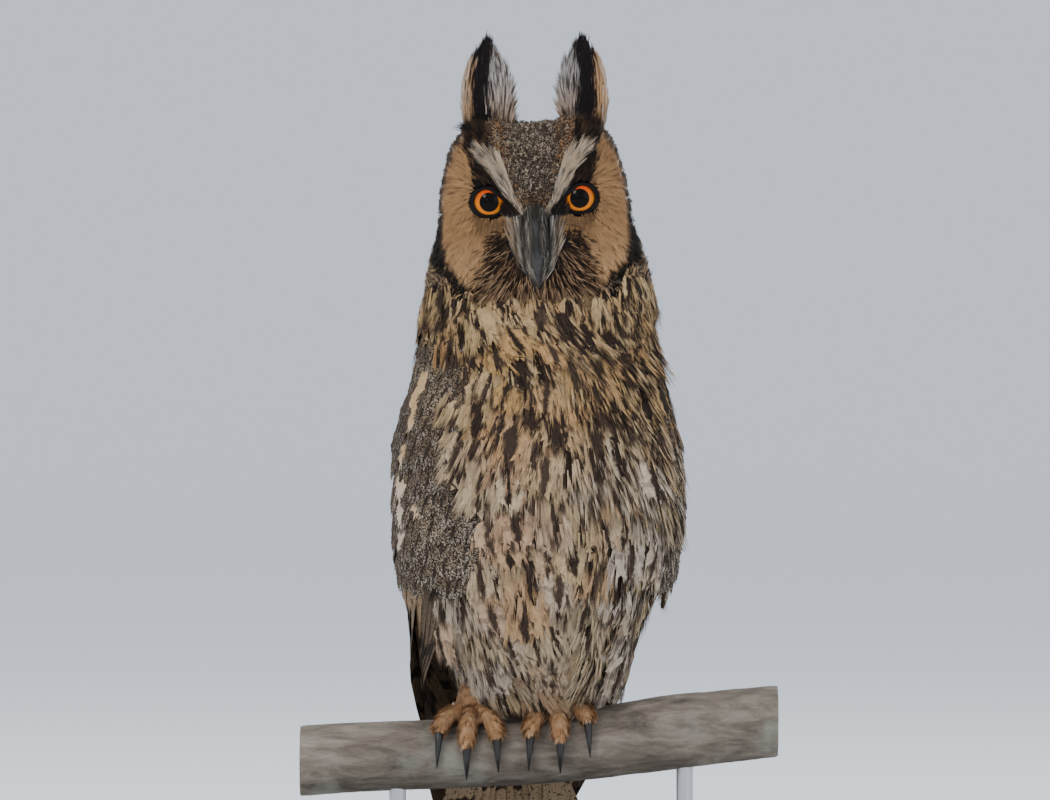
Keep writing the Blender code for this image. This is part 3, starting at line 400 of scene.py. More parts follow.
steel = Look("brushed_steel", 0.32, Metallic=1.0)
steel_grain = steel.noise(steel.place(900.0, 900.0, 12.0), 1.0, 4.0)
steel.feed("Base Color", steel.mixed(steel_grain, STEEL_DARK, STEEL_PALE))
steel.feed("Roughness", steel.span(steel_grain, 0.0, 1.0, 0.22, 0.42))
for rod_side, rod_x in ROD_PLACES.items():
    top = float(perch_axis(rod_x)) - PERCH_RADIUS + ROD_SET_IN
    foot = BASE_HEIGHT + PART_GAP
    rod_profile = ((0.0, foot), (ROD_RADIUS, foot), (ROD_RADIUS, top), (0.0, top))
    rod = turned_piece("rod_" + rod_side, rod_profile, 48, rod_x)
    finish(rod, steel.material, ["stand_rod_" + rod_side])


# Skin
# One closed skin runs under all the plumage, from the crown over the trunk to the toes, and lies
# inside the solids by the depth of the feathers. It carries their mean colours, in painted shade.
BODY_YAW = math.radians(15.0)
YAW_ENDS_Z = (284.0, 318.0)
UPPER_BODY_ROWS = (
    # height, middle x, half width, front y, back y
    (215.0, 0.0, 67.6, -62.0, 58.0),
    (243.0, -0.5, 65.8, -60.0, 55.0),
    (275.0, -0.5, 59.5, -54.0, 50.0),
    (300.0, -1.0, 55.5, -46.0, 44.0),
    (318.0, -1.0, 53.0, -41.0, 40.0),
)
BODY_ROWS = (
    # lower down, with the folded wings on
    (24.0, 0.0, 26.0, 36.0, 82.0),
    (50.0, -1.0, 38.0, 22.0, 78.0),
    (80.0, -2.0, 48.0, 7.0, 72.0),
    (125.0, -2.0, 58.0, -25.0, 62.0),
    (145.0, -1.0, 60.5, -40.0, 60.0),
    (165.0, -1.0, 63.5, -50.0, 59.0),
    (190.0, 0.0, 67.0, -59.0, 59.0),
    *UPPER_BODY_ROWS,
)
TORSO_ROWS = (
    # lower down, the trunk alone
    (126.0, 3.0, 22.0, -12.0, 34.0),
    (129.0, 3.0, 35.0, -23.0, 44.0),
    (137.0, 2.5, 42.0, -33.0, 49.0),
    (149.0, 1.0, 47.0, -42.0, 51.0),
    (165.0, -0.5, 53.0, -50.5, 53.0),
    (190.0, 0.0, 62.0, -59.0, 56.0),
    *UPPER_BODY_ROWS,
)
BODY_SQUARENESS = 2.25
HEAD_PLACE = (-1.2, 0.0, 355.0)
HEAD_ROLL = math.radians(2.5)
HEAD_ROWS = (
    # height over the eyes, half width, front y, back y
    (-43.0, 54.0, -43.5, 42.0),
    (-35.0, 53.0, -44.5, 41.0),
    (-23.0, 50.3, -45.5, 40.0),
    (-14.0, 47.3, -46.0, 39.5),
    (-7.0, 46.0, -46.5, 39.5),
    (0.0, 45.3, -46.5, 39.5),
    (7.6, 44.2, -46.0, 39.0),
    (17.0, 42.0, -45.0, 37.5),
    (24.0, 40.0, -43.0, 35.0),
    (29.7, 37.0, -40.0, 32.0),
    (33.5, 33.5, -36.0, 28.0),
    (36.5, 27.0, -29.0, 22.0),
    (38.1, 19.0, -21.0, 15.0),
    (38.8, 10.0, -12.0, 7.0),
    (39.0, 1.0, -3.0, -1.0),
)
FACE_SQUARENESS = 3.2
NAPE_SQUARENESS = 2.1
SIDE_SQUARENESS = 2.4
DOME_ENDS_Z = (27.0, 38.8)
DISC_MIDDLE_Z = -2.0
DISC_HALF_WIDTH = 43.5
DISC_HALF_HEIGHT = 38.0
DISC_SQUARENESS = (3.4, 2.6)
EYE_RADIUS = 10.4
EYE_PLACE = (21.2, -36.4, 0.0)
FOOT_PLACES = {"left": 9.0, "right": -31.0}
SHANK_TOP_Z = 150.0
TOE_RADIUS = 4.9
TOE_HEIGHT = TOE_RADIUS - 0.6
TOE_SWELL = ((0, 1.05), (0.2, 1.1), (0.4, 0.98), (0.6, 1.06), (0.8, 0.95), (1, 0.66))
TOES = (
    # sideways spread at the tip, angle round the perch where the toe ends
    ("inner", -12.0, 74.0),
    ("middle", 2.0, 84.0),
    ("outer", 15.0, 62.0),
    ("hind", -3.0, -66.0),
)
COAT_DEPTH = 4.0
FACE_COAT_DEPTH = 2.0
TOE_COAT_DEPTH = 1.2
SKIN_GRAIN = 2.0


def read_rows(rows):
    """Returns a function that reads smooth values between rows sorted by their first number."""
    table = np.array(rows, float)
    keys = table[:, 0]
    values = table[:, 1:]
    slopes = np.gradient(values, keys, axis=0)

    def read(key):
        key = np.clip(np.asarray(key, float), keys[0], keys[-1])
        i = np.clip(np.searchsorted(keys, key) - 1, 0, len(keys) - 2)
        span = (keys[i + 1] - keys[i])[..., None]
        t = ((key - keys[i]))[..., None] / span
        start = (1 + 2 * t) * (1 - t) ** 2 * values[i] + t * (1 - t) ** 2 * span * slopes[i]
        end = t * t * (3 - 2 * t) * values[i + 1] + t * t * (t - 1) * span * slopes[i + 1]
        return np.moveaxis(start + end, -1, 0)

    return read


def between(value, table):
    """Reads straight lines between a table's pairs."""
    return np.interp(value, *zip(*table))


def power(value, exponent):
    return np.sign(value) * np.abs(value) ** exponent


def unit(vectors):
    """Vectors with their length made one."""
    return vectors / np.maximum(np.linalg.norm(vectors, axis=-1, keepdims=True), 1e-9)


def mean_radius(half_width, front, back):
    return (half_width + (back - front) / 2) / 2


body_rows = read_rows(BODY_ROWS)
torso_rows = read_rows(TORSO_ROWS)
head_rows = read_rows(HEAD_ROWS)


def turned(x, y, z):
    """Turns points of the body about the vertical: the breast looks to one side of the face."""
    yaw = BODY_YAW * (1 - smooth(*YAW_ENDS_Z, z))
    sine, cosine = np.sin(yaw), np.cos(yaw)
    return np.stack([x * cosine - y * sine, x * sine + y * cosine, z + 0 * x], axis=-1)


def section_place(rows, z, angle, lift):
    """Points of a body section at an angle from the breast, lifted off along the normal."""
    middle_x, half_width, front, back = rows(z)
    half_depth = (back - front) / 2
    sine, cosine = np.sin(angle), np.cos(angle)
    x = middle_x + half_width * power(sine, 2 / BODY_SQUARENESS)
    y = (front + back) / 2 - half_depth * power(cosine, 2 / BODY_SQUARENESS)
    size = np.hypot(sine / half_width, cosine / half_depth)
    return turned(x + lift * sine / half_width / size, y - lift * cosine / half_depth / size, z)


def flank_place(z, angle, lift=0.0):
    """The outline of the body with its folded wings."""
    return section_place(body_rows, z, angle, lift)


def torso_place(z, angle, lift=0.0):
    """The outline of the trunk alone."""
    return section_place(torso_rows, z, angle, lift)


def disc_distance(x, z):
    """Distance, near enough, from the edge of the facial disc, positive outside."""
    exponent = np.where(z < DISC_MIDDLE_Z, *DISC_SQUARENESS)
    across = np.abs(x) / DISC_HALF_WIDTH
    high = np.abs(z - DISC_MIDDLE_Z) / DISC_HALF_HEIGHT
    return ((across**exponent + high**exponent) ** (1 / exponent) - 1) * 40


def eye_distance(x, z, stretch=1.0):
    """Distance from the nearer eye's middle, seen from in front."""
    return np.hypot(np.abs(x) - EYE_PLACE[0], stretch * (z - EYE_PLACE[2]))


def face_relief(x, z):
    """How far the face stands forward of the plain head at a place seen from in front."""
    edge = disc_distance(x, z)
    inside = smooth(0.0, -7.0, edge)
    ridge = bump(x, 9.0) * smooth(36, 12, z) * smooth(-42, -24, z)
    dish = bump(np.abs(x) - 31, 9.0) * bump(z + 6, 24.0)
    brow = bump(np.abs(x) - 14 - 0.5 * z, 4.5) * bump(z - 11, 12.0)
    socket = 1.4 * bump(eye_distance(x, z), 10.0)
    return 5.5 * ridge + 2.0 * bump(edge, 2.6) - 1.6 * inside * dish - socket + 2.2 * brow


def head_local(z, angle, lift=0.0):
    """Points of the head in its own frame, at a height over the eyes and an angle from the bill."""
    half_width, front, back = head_rows(z)
    sine, cosine = np.sin(angle), np.cos(angle)
    square = np.where(cosine > 0, FACE_SQUARENESS, NAPE_SQUARENESS)
    square = SIDE_SQUARENESS + (square - SIDE_SQUARENESS) * smooth(0.0, 0.5, np.abs(cosine))
    x = half_width * power(sine, 2 / square)
    y = (front + back) / 2 - (back - front) / 2 * power(cosine, 2 / square)
    y = y - face_relief(x, z) * smooth(0.0, 0.45, cosine)
    nx = sine / half_width
    ny = -cosine / (back - front) * 2
    size = np.hypot(nx, ny)
    dome = smooth(*DOME_ENDS_Z, z)
    flat = lift * np.sqrt(1 - 0.96 * dome)
    return np.stack([x + flat * nx / size, y + flat * ny / size, z + lift * dome + 0 * x], axis=-1)


def head_world(points):
    """Takes points from the head's frame to their place, with the head's roll."""
    x, y, z = np.moveaxis(np.asarray(points, float), -1, 0)
    sine, cosine = math.sin(HEAD_ROLL), math.cos(HEAD_ROLL)
    across = HEAD_PLACE[0] + x * cosine - z * sine
    high = HEAD_PLACE[2] + x * sine + z * cosine
    return np.stack([across, HEAD_PLACE[1] + y, high], axis=-1)


def head_place(z, angle, lift=0.0):
    return head_world(head_local(z, angle, lift))


def closed_faces(rows, sides):
    """Quads round a tube of rows of points, with a cap on each end."""
    last = (rows - 1) * sides
    ends = [list(range(sides)), list(range(last, last + sides))]
    return grid_faces(rows, sides, True) + ends


def loft_object(name, surface, heights, sides, lift):
    """A closed form over a surface's sections at some heights."""
    z, angle = np.meshgrid(np.asarray(heights, float), round_turns(sides), indexing="ij")
    points = surface(z, angle, lift).reshape(-1, 3)
    return tidy(mesh_object(name, points, closed_faces(len(heights), sides)))


def tube_object(name, path, radii, sides=16):
    """A tapered tube along a path, from its radii across and along the path's upright."""
    path = np.array(path, float)
    steps = unit(np.gradient(path, axis=0))
    side = unit(np.array((1.0, 0.0, 0.0)) - steps[:, :1] * steps)
    up = np.cross(steps, side)
    turns = round_turns(sides)
    radii = np.array(radii, float)[:, None]
    across = side[:, None] * (radii[..., :1] * np.cos(turns)[None, :, None])
    points = path[:, None] + across + up[:, None] * (radii[..., 1:] * np.sin(turns)[None, :, None])
    return tidy(mesh_object(name, points.reshape(-1, 3), closed_faces(len(path), sides)))


def toe_path(place, spread, end, count):
    """Points along a toe, from the perch's top round to an angle, where 90 is in front."""
    t = np.linspace(0, 1, count)
    x = place + spread * np.sin(t * math.pi / 2)
    return round_perch(x, np.radians(end * t), PERCH_RADIUS + TOE_HEIGHT)


def eye_ball(side, radius, name):
    """A ball at an eye's place."""
    work = bmesh.new()
    bmesh.ops.create_uvsphere(work, u_segments=32, v_segments=20, radius=radius)
    centre = head_world((side * EYE_PLACE[0], EYE_PLACE[1], EYE_PLACE[2]))
    points = [tuple(c + o for c, o in zip(v.co, centre)) for v in work.verts]
    faces = [[v.index for v in f.verts] for f in work.faces]
    work.free()
    return tidy(mesh_object(name, points, faces))


def applied(thing):
    """Turns an object's modifiers into plain mesh."""
    graph = bpy.context.evaluated_depsgraph_get()
    mesh = bpy.data.meshes.new_from_object(thing.evaluated_get(graph))
    thing.modifiers.clear()
    old = thing.data
    thing.data = mesh
    mesh.name = thing.name
    bpy.data.meshes.remove(old)
    return thing


def mirror_of(side):
    return 1 if side == "left" else -1


skull_heights = np.concatenate([np.linspace(-60, 34, 46), (36, 37.5, 38.4)])
skin_parts = [
    loft_object("skin", torso_place, np.linspace(127, 317, 60), 72, -COAT_DEPTH),
    loft_object("skull", head_place, skull_heights, 96, -FACE_COAT_DEPTH),
]
for foot_side, foot_x in FOOT_PLACES.items():
    ankle = float(perch_axis(foot_x)) + PERCH_RADIUS
    shank = [(foot_x, 0.0, ankle + 3), (foot_x, -1.0, ankle + 8), (foot_x * 0.65, 4.0, SHANK_TOP_Z)]
    skin_parts.append(tube_object("shank", shank, [(7.5, 8.0), (7.5, 8.0), (9.0, 10.0)]))
    for _, spread, end in TOES:
        toe = toe_path(foot_x, mirror_of(foot_side) * spread, end, 12)
        thick = TOE_RADIUS * between(np.linspace(0, 1, 12), TOE_SWELL) - TOE_COAT_DEPTH
        skin_parts.append(tube_object("toe", toe, np.column_stack([thick, thick])))
skin = skin_parts[0]
with bpy.context.temp_override(active_object=skin, selected_editable_objects=skin_parts):
    bpy.ops.object.join()
fuse = skin.modifiers.new("fuse", "REMESH")
fuse.mode = "VOXEL"
fuse.voxel_size = SKIN_GRAIN * 0.001
fuse.use_smooth_shade = True
applied(skin)
sockets = [eye_ball(side, EYE_RADIUS + 0.1, "socket") for side in (1, -1)]
for socket in sockets:
    cut = skin.modifiers.new("socket", "BOOLEAN")
    cut.operation = "DIFFERENCE"
    cut.object = socket
    cut.solver = "EXACT"
applied(skin)
for socket in sockets:
    bpy.data.objects.remove(socket)
tidy(skin)
skin.data.shade_smooth()

down = Look("skin_under_down", 0.9)
mottle = down.noise(down.place(), 260.0, 6.0, 0.65)
down_tone = down.span(mottle, 0.38, 0.62, 0.35, 1.0)
down_tone = down.mixed(1.0, down.layer("marking"), down_tone, "MULTIPLY")
skin_finish = down.dress(down_tone, mottle, 0.7, 0.001)
skin_nodes = ["torso", "neck", "head", "leg_left", "leg_right", "foot_left", "foot_right"]
finish(skin, skin_finish, skin_nodes)


# Eyes
# Glass eyes as a taxidermist sets them: an orange iris, redder at its top, round a wide black
# pupil under a glossy cornea. Bare black lids rim each eye, and the brow cuts their top.
IRIS_RADIUS = 7.3
PUPIL_RADIUS = 4.55
PUPIL_SOFTNESS = 0.015
CORNEA_RISE = 0.45
EYE_SEGMENTS = 64
LID_ROWS = 9
LID_RISE = 0.75
LID_OUTER = 9.2
LID_OPENING = (
    # angle round the eye from its outer corner over the top, radius of the opening
    (0, 7.1),
    (40, 6.8),
    (70, 6.3),
    (90, 5.7),
    (110, 4.8),
    (135, 4.3),
    (158, 5.0),
    (180, 6.9),
    (205, 6.6),
    (220, 6.3),
    (270, 5.8),
    (320, 6.4),
    (360, 7.1),
)
IRIS_ORANGE = (0.54, 0.115, 0.006)
IRIS_YELLOW = (0.64, 0.215, 0.012)
IRIS_RED = (0.50, 0.035, 0.005)
EYE_BLACK = (0.004, 0.003, 0.003)
LID_BLACK = (0.004, 0.0035, 0.0035)
LID_GREY = (0.016, 0.013, 0.012)
LACQUER = {"Coat_Weight": 0.22, "Coat_Roughness": 0.03, "Coat_IOR": 1.4}

glass = Look("glass_eye", 0.35, Specular_IOR_Level=0.0, **LACQUER)
iris_map = glass.uv("iris")
iris_x, iris_y, _ = glass.parts(iris_map)
reach = node(glass.tree, "ShaderNodeVectorMath", {0: iris_map}, operation="LENGTH").outputs["Value"]
spokes = glass.vector(glass.maths("ARCTAN2", iris_y, iris_x), reach)
iris_tone = glass.mixed(glass.noise(spokes, 9.0, 5.0), IRIS_ORANGE, IRIS_YELLOW)
iris_tone = glass.mixed(glass.span(iris_y, 0.05, 0.75, top=0.9), iris_tone, IRIS_RED)
iris_ring = glass.span(reach, 0.78, 1.06, curve="SMOOTHSTEP")
pupil_edge = (PUPIL_RADIUS / IRIS_RADIUS + s * PUPIL_SOFTNESS for s in (1, -1))
pupil_ring = glass.span(reach, *pupil_edge, curve="SMOOTHSTEP")
eye_dark = glass.maths("MAXIMUM", iris_ring, pupil_ring)
glass.feed("Base Color", glass.mixed(eye_dark, iris_tone, EYE_BLACK))

lid_look = Look("lid_skin", 0.7, Specular_IOR_Level=0.06)
pebbles = {"Vector": lid_look.place(), "Scale": 1900.0}
pebbles = node(lid_look.tree, "ShaderNodeTexVoronoi", pebbles).outputs["Distance"]
lid_skin = lid_look.dress(lid_look.mixed(pebbles, LID_BLACK, LID_GREY), pebbles, 0.4, 0.0002)

for eye_side in ("left", "right"):
    mirror = mirror_of(eye_side)
    middle = (mirror * EYE_PLACE[0], EYE_PLACE[1], EYE_PLACE[2])
    rolls = round_turns(EYE_SEGMENTS)
    polar = np.concatenate([np.linspace(0.02, 1.0, 30), np.linspace(1.08, math.pi - 0.02, 22)])
    eye_points = []
    eye_uv = []
    for p in polar:
        out = math.sin(p) * EYE_RADIUS
        in_front = p < math.pi / 2
        rise = CORNEA_RISE * math.exp(-((out / IRIS_RADIUS) ** 2)) if in_front else 0.0
        reach = 1.0 if in_front else 1.4
        for x, z in ((out * math.cos(a), out * math.sin(a)) for a in rolls):
            y = middle[1] - EYE_RADIUS * math.cos(p) - rise
            eye_points.append((middle[0] + x, y, middle[2] + z))
            eye_uv.append((reach * x / IRIS_RADIUS, reach * z / IRIS_RADIUS))
    eye_faces = closed_faces(len(polar), EYE_SEGMENTS)
    eye = mesh_object("eye_glass_" + eye_side, head_world(eye_points), eye_faces)
    iris_layer = eye.data.uv_layers.new(name="iris")
    for loop in eye.data.loops:
        iris_layer.data[loop.index].uv = eye_uv[loop.vertex_index]
    finish(tidy(eye), glass.material, ["eye_" + eye_side])

    lid_points = []
    for t in (step / (LID_ROWS - 1) for step in range(LID_ROWS)):
        ball = EYE_RADIUS + 0.05 + LID_RISE * math.sin(math.pi * min(1.0, t * 1.6))
        for a in rolls:
            outward = a if mirror > 0 else math.pi - a
            opening = between(math.degrees(outward) % 360, LID_OPENING)
            reach = opening + (LID_OUTER - opening) * max(0.0, t - 0.12) / 0.88
            depth = math.sqrt(max(ball**2 - min(reach, ball) ** 2, 0.0))
            x, z = reach * math.cos(a), reach * math.sin(a)
            lid_points.append((middle[0] + x, middle[1] - depth, middle[2] + z))
    lid_faces = grid_faces(LID_ROWS, EYE_SEGMENTS, True)
    lid = tidy(mesh_object("lids_" + eye_side, head_world(lid_points), lid_faces))
    if sum(p.normal.y * p.area for p in lid.data.polygons) > 0:
        lid.data.flip_normals()
    finish(lid, lid_skin, ["head"])


# Bill
# A short hooked bill of dark horn, satin with fine growth lines, with a round nostril in the
# swollen cere on each side. The lower half closes under the hook.
BILL_UPPER_ROWS = (
    # y and z of the middle line, half width, half depth
    (-38.0, -5.0, 5.6, 6.4),
    (-47.0, -7.0, 5.6, 6.4),
    (-52.5, -12.0, 5.3, 5.6),
    (-55.0, -19.0, 4.6, 4.6),
    (-56.0, -26.0, 3.4, 3.4),
    (-55.6, -32.0, 2.0, 2.2),
    (-53.8, -38.0, 0.4, 0.5),
)
BILL_LOWER_ROWS = (
    (-36.0, -25.5, 4.6, 3.0),
    (-43.0, -28.0, 4.4, 3.0),
    (-48.5, -30.5, 3.4, 2.6),
    (-52.0, -33.2, 1.0, 0.9),
)
BILL_SIDES = 40
NOSTRIL_PLACE = (4.9, -52.0, -10.5)
NOSTRIL_RADIUS = 1.2
NOSTRIL_DEPTH = 1.5
HORN_DARK = (0.012, 0.012, 0.015)
HORN_PALE = (0.055, 0.050, 0.048)


def line_of(rows):
    """Reads rows of a bill's middle line by their number."""
    return read_rows([(i, *row) for i, row in enumerate(rows)])


def bill_half(name, rows, steps):
    """Half of the bill: a tapered tube with a keeled ridge, from rows of its middle line."""
    y, z, wide, deep = line_of(rows)(np.linspace(0, len(rows) - 1, steps))
    path = np.stack([0 * y, y, z], axis=-1)
    step = unit(np.gradient(path, axis=0))
    up = np.stack([0 * y, step[:, 2], -step[:, 1]], axis=-1)
    turns = round_turns(BILL_SIDES)
    narrow = 1 - 0.22 * smooth(0.2, 1.0, np.cos(turns))
    across = (wide[:, None] * (np.sin(turns) * narrow)[None])[..., None]
    over = (deep[:, None] * np.cos(turns)[None])[..., None]
    points = path[:, None] + np.array((1.0, 0.0, 0.0)) * across - up[:, None] * over
    for side in (1, -1):
        nostril = np.array((side * NOSTRIL_PLACE[0], *NOSTRIL_PLACE[1:]))
        pit = np.linalg.norm(points - nostril, axis=-1)
        points[..., 0] -= side * NOSTRIL_DEPTH * bump(pit, NOSTRIL_RADIUS)
    points = head_world(points.reshape(-1, 3))
    return tidy(mesh_object(name, points, closed_faces(steps, BILL_SIDES)))


horn = Look("bill_horn", 0.42, Specular_IOR_Level=0.28)
horn_lines = horn.noise(horn.place(160.0, 160.0, 420.0), 1.0, 5.0)
bill_horn = horn.dress(horn.mixed(horn_lines, HORN_DARK, HORN_PALE), horn_lines, 0.25, 0.0002)
finish(bill_half("bill_hook", BILL_UPPER_ROWS, 60), bill_horn, ["bill_upper"])
finish(bill_half("bill_under", BILL_LOWER_ROWS, 28), bill_horn, ["bill_lower"])


# Claws
# Long curved claws of blackish horn, round in section, that leave the
# feathered toes and close on the bark.
CLAW_RADIUS = 2.1
CLAW_ROOT = 8.0
CLAW_SWEEP = 46.0
CLAW_DARK = (0.006, 0.006, 0.007)
CLAW_PALE = (0.045, 0.040, 0.038)

claw_look = Look("claw_horn", 0.36, Specular_IOR_Level=0.3)
claw_lines = claw_look.noise(claw_look.place(), 500.0, 4.0)
claw_tone = claw_look.mixed(claw_lines, CLAW_DARK, CLAW_PALE)
claw_horn = claw_look.dress(claw_tone, claw_lines, 0.15, 0.0002)
t = np.linspace(0, 1, 22)
claw_thick = np.stack([CLAW_RADIUS * (1 - 0.92 * t**1.3)] * 2, axis=-1)
for foot_side, foot_x in FOOT_PLACES.items():
    for toe_name, spread, end in TOES:
        turn = np.radians(end + math.copysign(1, end) * (-CLAW_ROOT + (CLAW_SWEEP + CLAW_ROOT) * t))
        x = foot_x + mirror_of(foot_side) * spread * (1 + 0.08 * t)
        path = round_perch(x, turn, PERCH_RADIUS + 3.6 - 2.2 * t * t)
        toe = foot_side + "_" + toe_name
        claw = tube_object("claw_horn_" + toe, path, claw_thick)
        finish(claw, claw_horn, ["claw_" + toe])


# Leg and toe feathers
# Short soft tan feathers, almost hair, cover the legs and the toes down to the claws. They
# lie towards the claws and overlap like thatch.
BAKE_PATCH = 0.003
TOE_TAN = (0.47, 0.245, 0.110)
TOE_PALE = (0.66, 0.45, 0.27)
TOE_DARK = (0.23, 0.12, 0.06)
TOE_FEATHERS = 420
SHANK_FEATHERS = 900
VANE_OUTLINE = (
    # place along a feather, half its width there
    (0.0, 0.07),
    (0.1, 0.24),
    (0.3, 0.42),
    (0.55, 0.50),
    (0.75, 0.46),
    (0.9, 0.31),
    (1.0, 0.04),
)
BARB_ROOT = 0.035
ROUGHNESS = 0.012


def shape_object(name, points, faces, vane):
    """A mesh object for the coat's collection of shapes, with its vane map."""
    mesh = bpy.data.meshes.new(name)
    mesh.from_pydata(points, [], faces)
    mesh.shade_smooth()
    layer = mesh.uv_layers.new(name="vane")
    corners = np.array(vane, float)[[loop.vertex_index for loop in mesh.loops]]
    layer.data.foreach_set("uv", corners.ravel())
    return bpy.data.objects.new(name, mesh)


def feather_shape(name, seed, rows, columns, arch, curl, barbs, reach):
    """A feather one unit long and wide, root at the origin, tip along +Y, its outer face up.

    Its edge breaks up into loose barbs, each a thin triangle; reach is how far they stand out.
    """
    draw = np.random.default_rng(seed)
    t = np.linspace(0, 1, rows)
    s = np.linspace(-1, 1, columns)
    half = between(t, VANE_OUTLINE) * (1 + 0.05 * draw.standard_normal(rows))
    across = s[None, :] * half[:, None]
    along = t[:, None] + ROUGHNESS * draw.standard_normal((rows, columns))
    rise = arch * (1 - s[None, :] ** 2) * half[:, None] + curl * t[:, None] ** 2
    rise = rise + ROUGHNESS * draw.standard_normal((rows, columns))
    points = np.stack([across, along, rise], axis=-1).reshape(-1, 3).tolist()
    vane = np.stack([0.5 + 0.5 * s[None, :] + 0 * along, t[:, None] + 0 * along], axis=-1)
    vane = vane.reshape(-1, 2).tolist()
    faces = grid_faces(rows, columns, False)
    for side in (-1, 1):
        for place in np.linspace(0.16, 0.985, barbs) + 0.01 * draw.standard_normal(barbs):
            low, high = np.clip((place - BARB_ROOT, place + BARB_ROOT), 0.02, 1.0)
            edge = [between(p, VANE_OUTLINE) * 0.97 for p in (low, high)]
            lean = math.radians(38 + 48 * place**3) + 0.25 * draw.standard_normal()
            out = reach * (0.6 + 0.8 * draw.random())
            tip_x = side * (sum(edge) / 2 + out * math.cos(lean))
            tip_y = place + out * math.sin(lean)
            base = len(points)
            level = [curl * p**2 for p in (low, high, tip_y)]
            points += [(side * edge[0], low, level[0]), (side * edge[1], high, level[1])]
            points.append((tip_x, tip_y, level[2] + 0.02 * draw.standard_normal()))
            edge_u = 0.5 + 0.5 * side
            vane += [(edge_u, low), (edge_u, high), (edge_u, min(tip_y, 1.0))]
            faces.append((base, base + 1, base + 2) if side > 0 else (base + 1, base, base + 2))
    return shape_object(name, points, faces, vane)


def hair_tuft(name, seed, strands, spread, curl, width, segments=2):
    """A tuft of a few tapered strands, one unit long, that fan from one root along +Y."""
    draw = np.random.default_rng(seed)
    points = []
    faces = []
    vane = []
    for strand in range(strands):
        side = (strand + 0.5) / strands * 2 - 1 + 0.3 * draw.standard_normal() / strands
        length = 0.72 + 0.28 * draw.random()
        lean = spread * (side + 0.25 * draw.standard_normal())
        bend = curl * (0.7 + 0.6 * draw.random())
        base = len(points)
        for r in range(segments + 1):
            t = r / segments
            half = width * (1 - t) ** 0.8 / 2
            x = side * 0.16 + lean * t**1.3
            for end in (-half, half) if r < segments else (0.0,):
                points.append((x + end, t * length, bend * t * t + 0.03 * side))
                vane.append((0.5 + 0.45 * side, t))
        for a in range(base, base + 2 * segments - 2, 2):
            faces.append((a, a + 1, a + 3, a + 2))
        a = base + 2 * (segments - 1)
        faces.append((a, a + 1, a + 2))
    return shape_object(name, points, faces, vane)


def several(shape, count, name, seed, *sizes):
    """Some shapes alike but for their seed."""
    return [shape("%s_%d" % (name, i), seed + i, *sizes) for i in range(count)]


def feather_tree():
    """Geometry Nodes that set one of the shapes on each root and give it its bake patch."""
    tree = bpy.data.node_groups.new("set_feathers", "GeometryNodeTree")
    sockets = (
        ("Roots", "Geometry"),
        ("Shapes", "Collection"),
        ("Ruffle", "Float"),
        ("Seed", "Int"),
        ("Bake Patch", "Float"),
        ("Finish", "Material"),
    )
    for name, kind in sockets:
        tree.interface.new_socket(name=name, in_out="INPUT", socket_type="NodeSocket" + kind)
    tree.interface.new_socket(name="Plumage", in_out="OUTPUT", socket_type="NodeSocketGeometry")
    given = tree.nodes.new("NodeGroupInput").outputs

    def add(kind, inputs, **settings):
        return node(tree, kind, inputs, **settings).outputs[0]

    def read(name, kind="FLOAT_VECTOR"):
        return add("GeometryNodeInputNamedAttribute", {"Name": name}, data_type=kind)

    def vectors(operation, *inputs):
        return add("ShaderNodeVectorMath", dict(enumerate(inputs)), operation=operation)

    axes = {"Primary Axis": read("outward"), "Secondary Axis": read("lie")}
    turn = add("FunctionNodeAxesToRotation", axes, primary_axis="Z", secondary_axis="Y")
    limits = {0: vectors("MULTIPLY", given["Ruffle"], (-1.0, -1.0, -1.0)), 1: given["Ruffle"]}
    limits["Seed"] = given["Seed"]
    ruffle = add("FunctionNodeRandomValue", limits, data_type="FLOAT_VECTOR")
    ruffle = add("FunctionNodeEulerToRotation", {0: ruffle})
    turn = add("FunctionNodeRotateRotation", {0: turn, 1: ruffle}, rotation_space="LOCAL")
    shapes = {"Collection": given["Shapes"], "Separate Children": True, "Reset Children": True}
    set_on = {
        "Points": given["Roots"],
        "Instance": add("GeometryNodeCollectionInfo", shapes),
        "Pick Instance": True,
        "Instance Index": read("kind", "INT"),
        "Rotation": turn,
        "Scale": read("size"),
    }
    real = add("GeometryNodeRealizeInstances", {0: add("GeometryNodeInstanceOnPoints", set_on)})
    patch = vectors("SUBTRACT", read("vane"), (0.5, 0.5, 0.0))
    patch = vectors("MULTIPLY_ADD", patch, given["Bake Patch"], read("root_map"))
    mapped = {"Geometry": real, "Name": "OFBake", "Value": patch}
    mapped = add("GeometryNodeStoreNamedAttribute", mapped, data_type="FLOAT2", domain="CORNER")
    done = add("GeometryNodeSetMaterial", {"Geometry": mapped, "Material": given["Finish"]})
    node(tree, "NodeGroupOutput", {0: done})
    return tree


def feather_roots(place, outward, lie, length, width, rise, root_map, ground, mark, pattern):
    """Arrays of a coat's roots.

    outward and lie are directions; width and rise are shares of the length; root_map is the
    place on the bake map. ground and mark are colours, and pattern holds the shaft streak,
    the bars and the speckle. One mark may stand for all, and so may each part of pattern.
    """
    count = len(place)
    return {
        "place": place,
        "outward": outward,
        "lie": lie,
        "size": np.column_stack([length * width, length, length * rise]),
        "root_map": root_map,
        "ground": ground,
        "mark": np.broadcast_to(mark, (count, 3)),
        "pattern": np.column_stack([np.broadcast_to(part, count) for part in pattern]) * 1.0,
    }


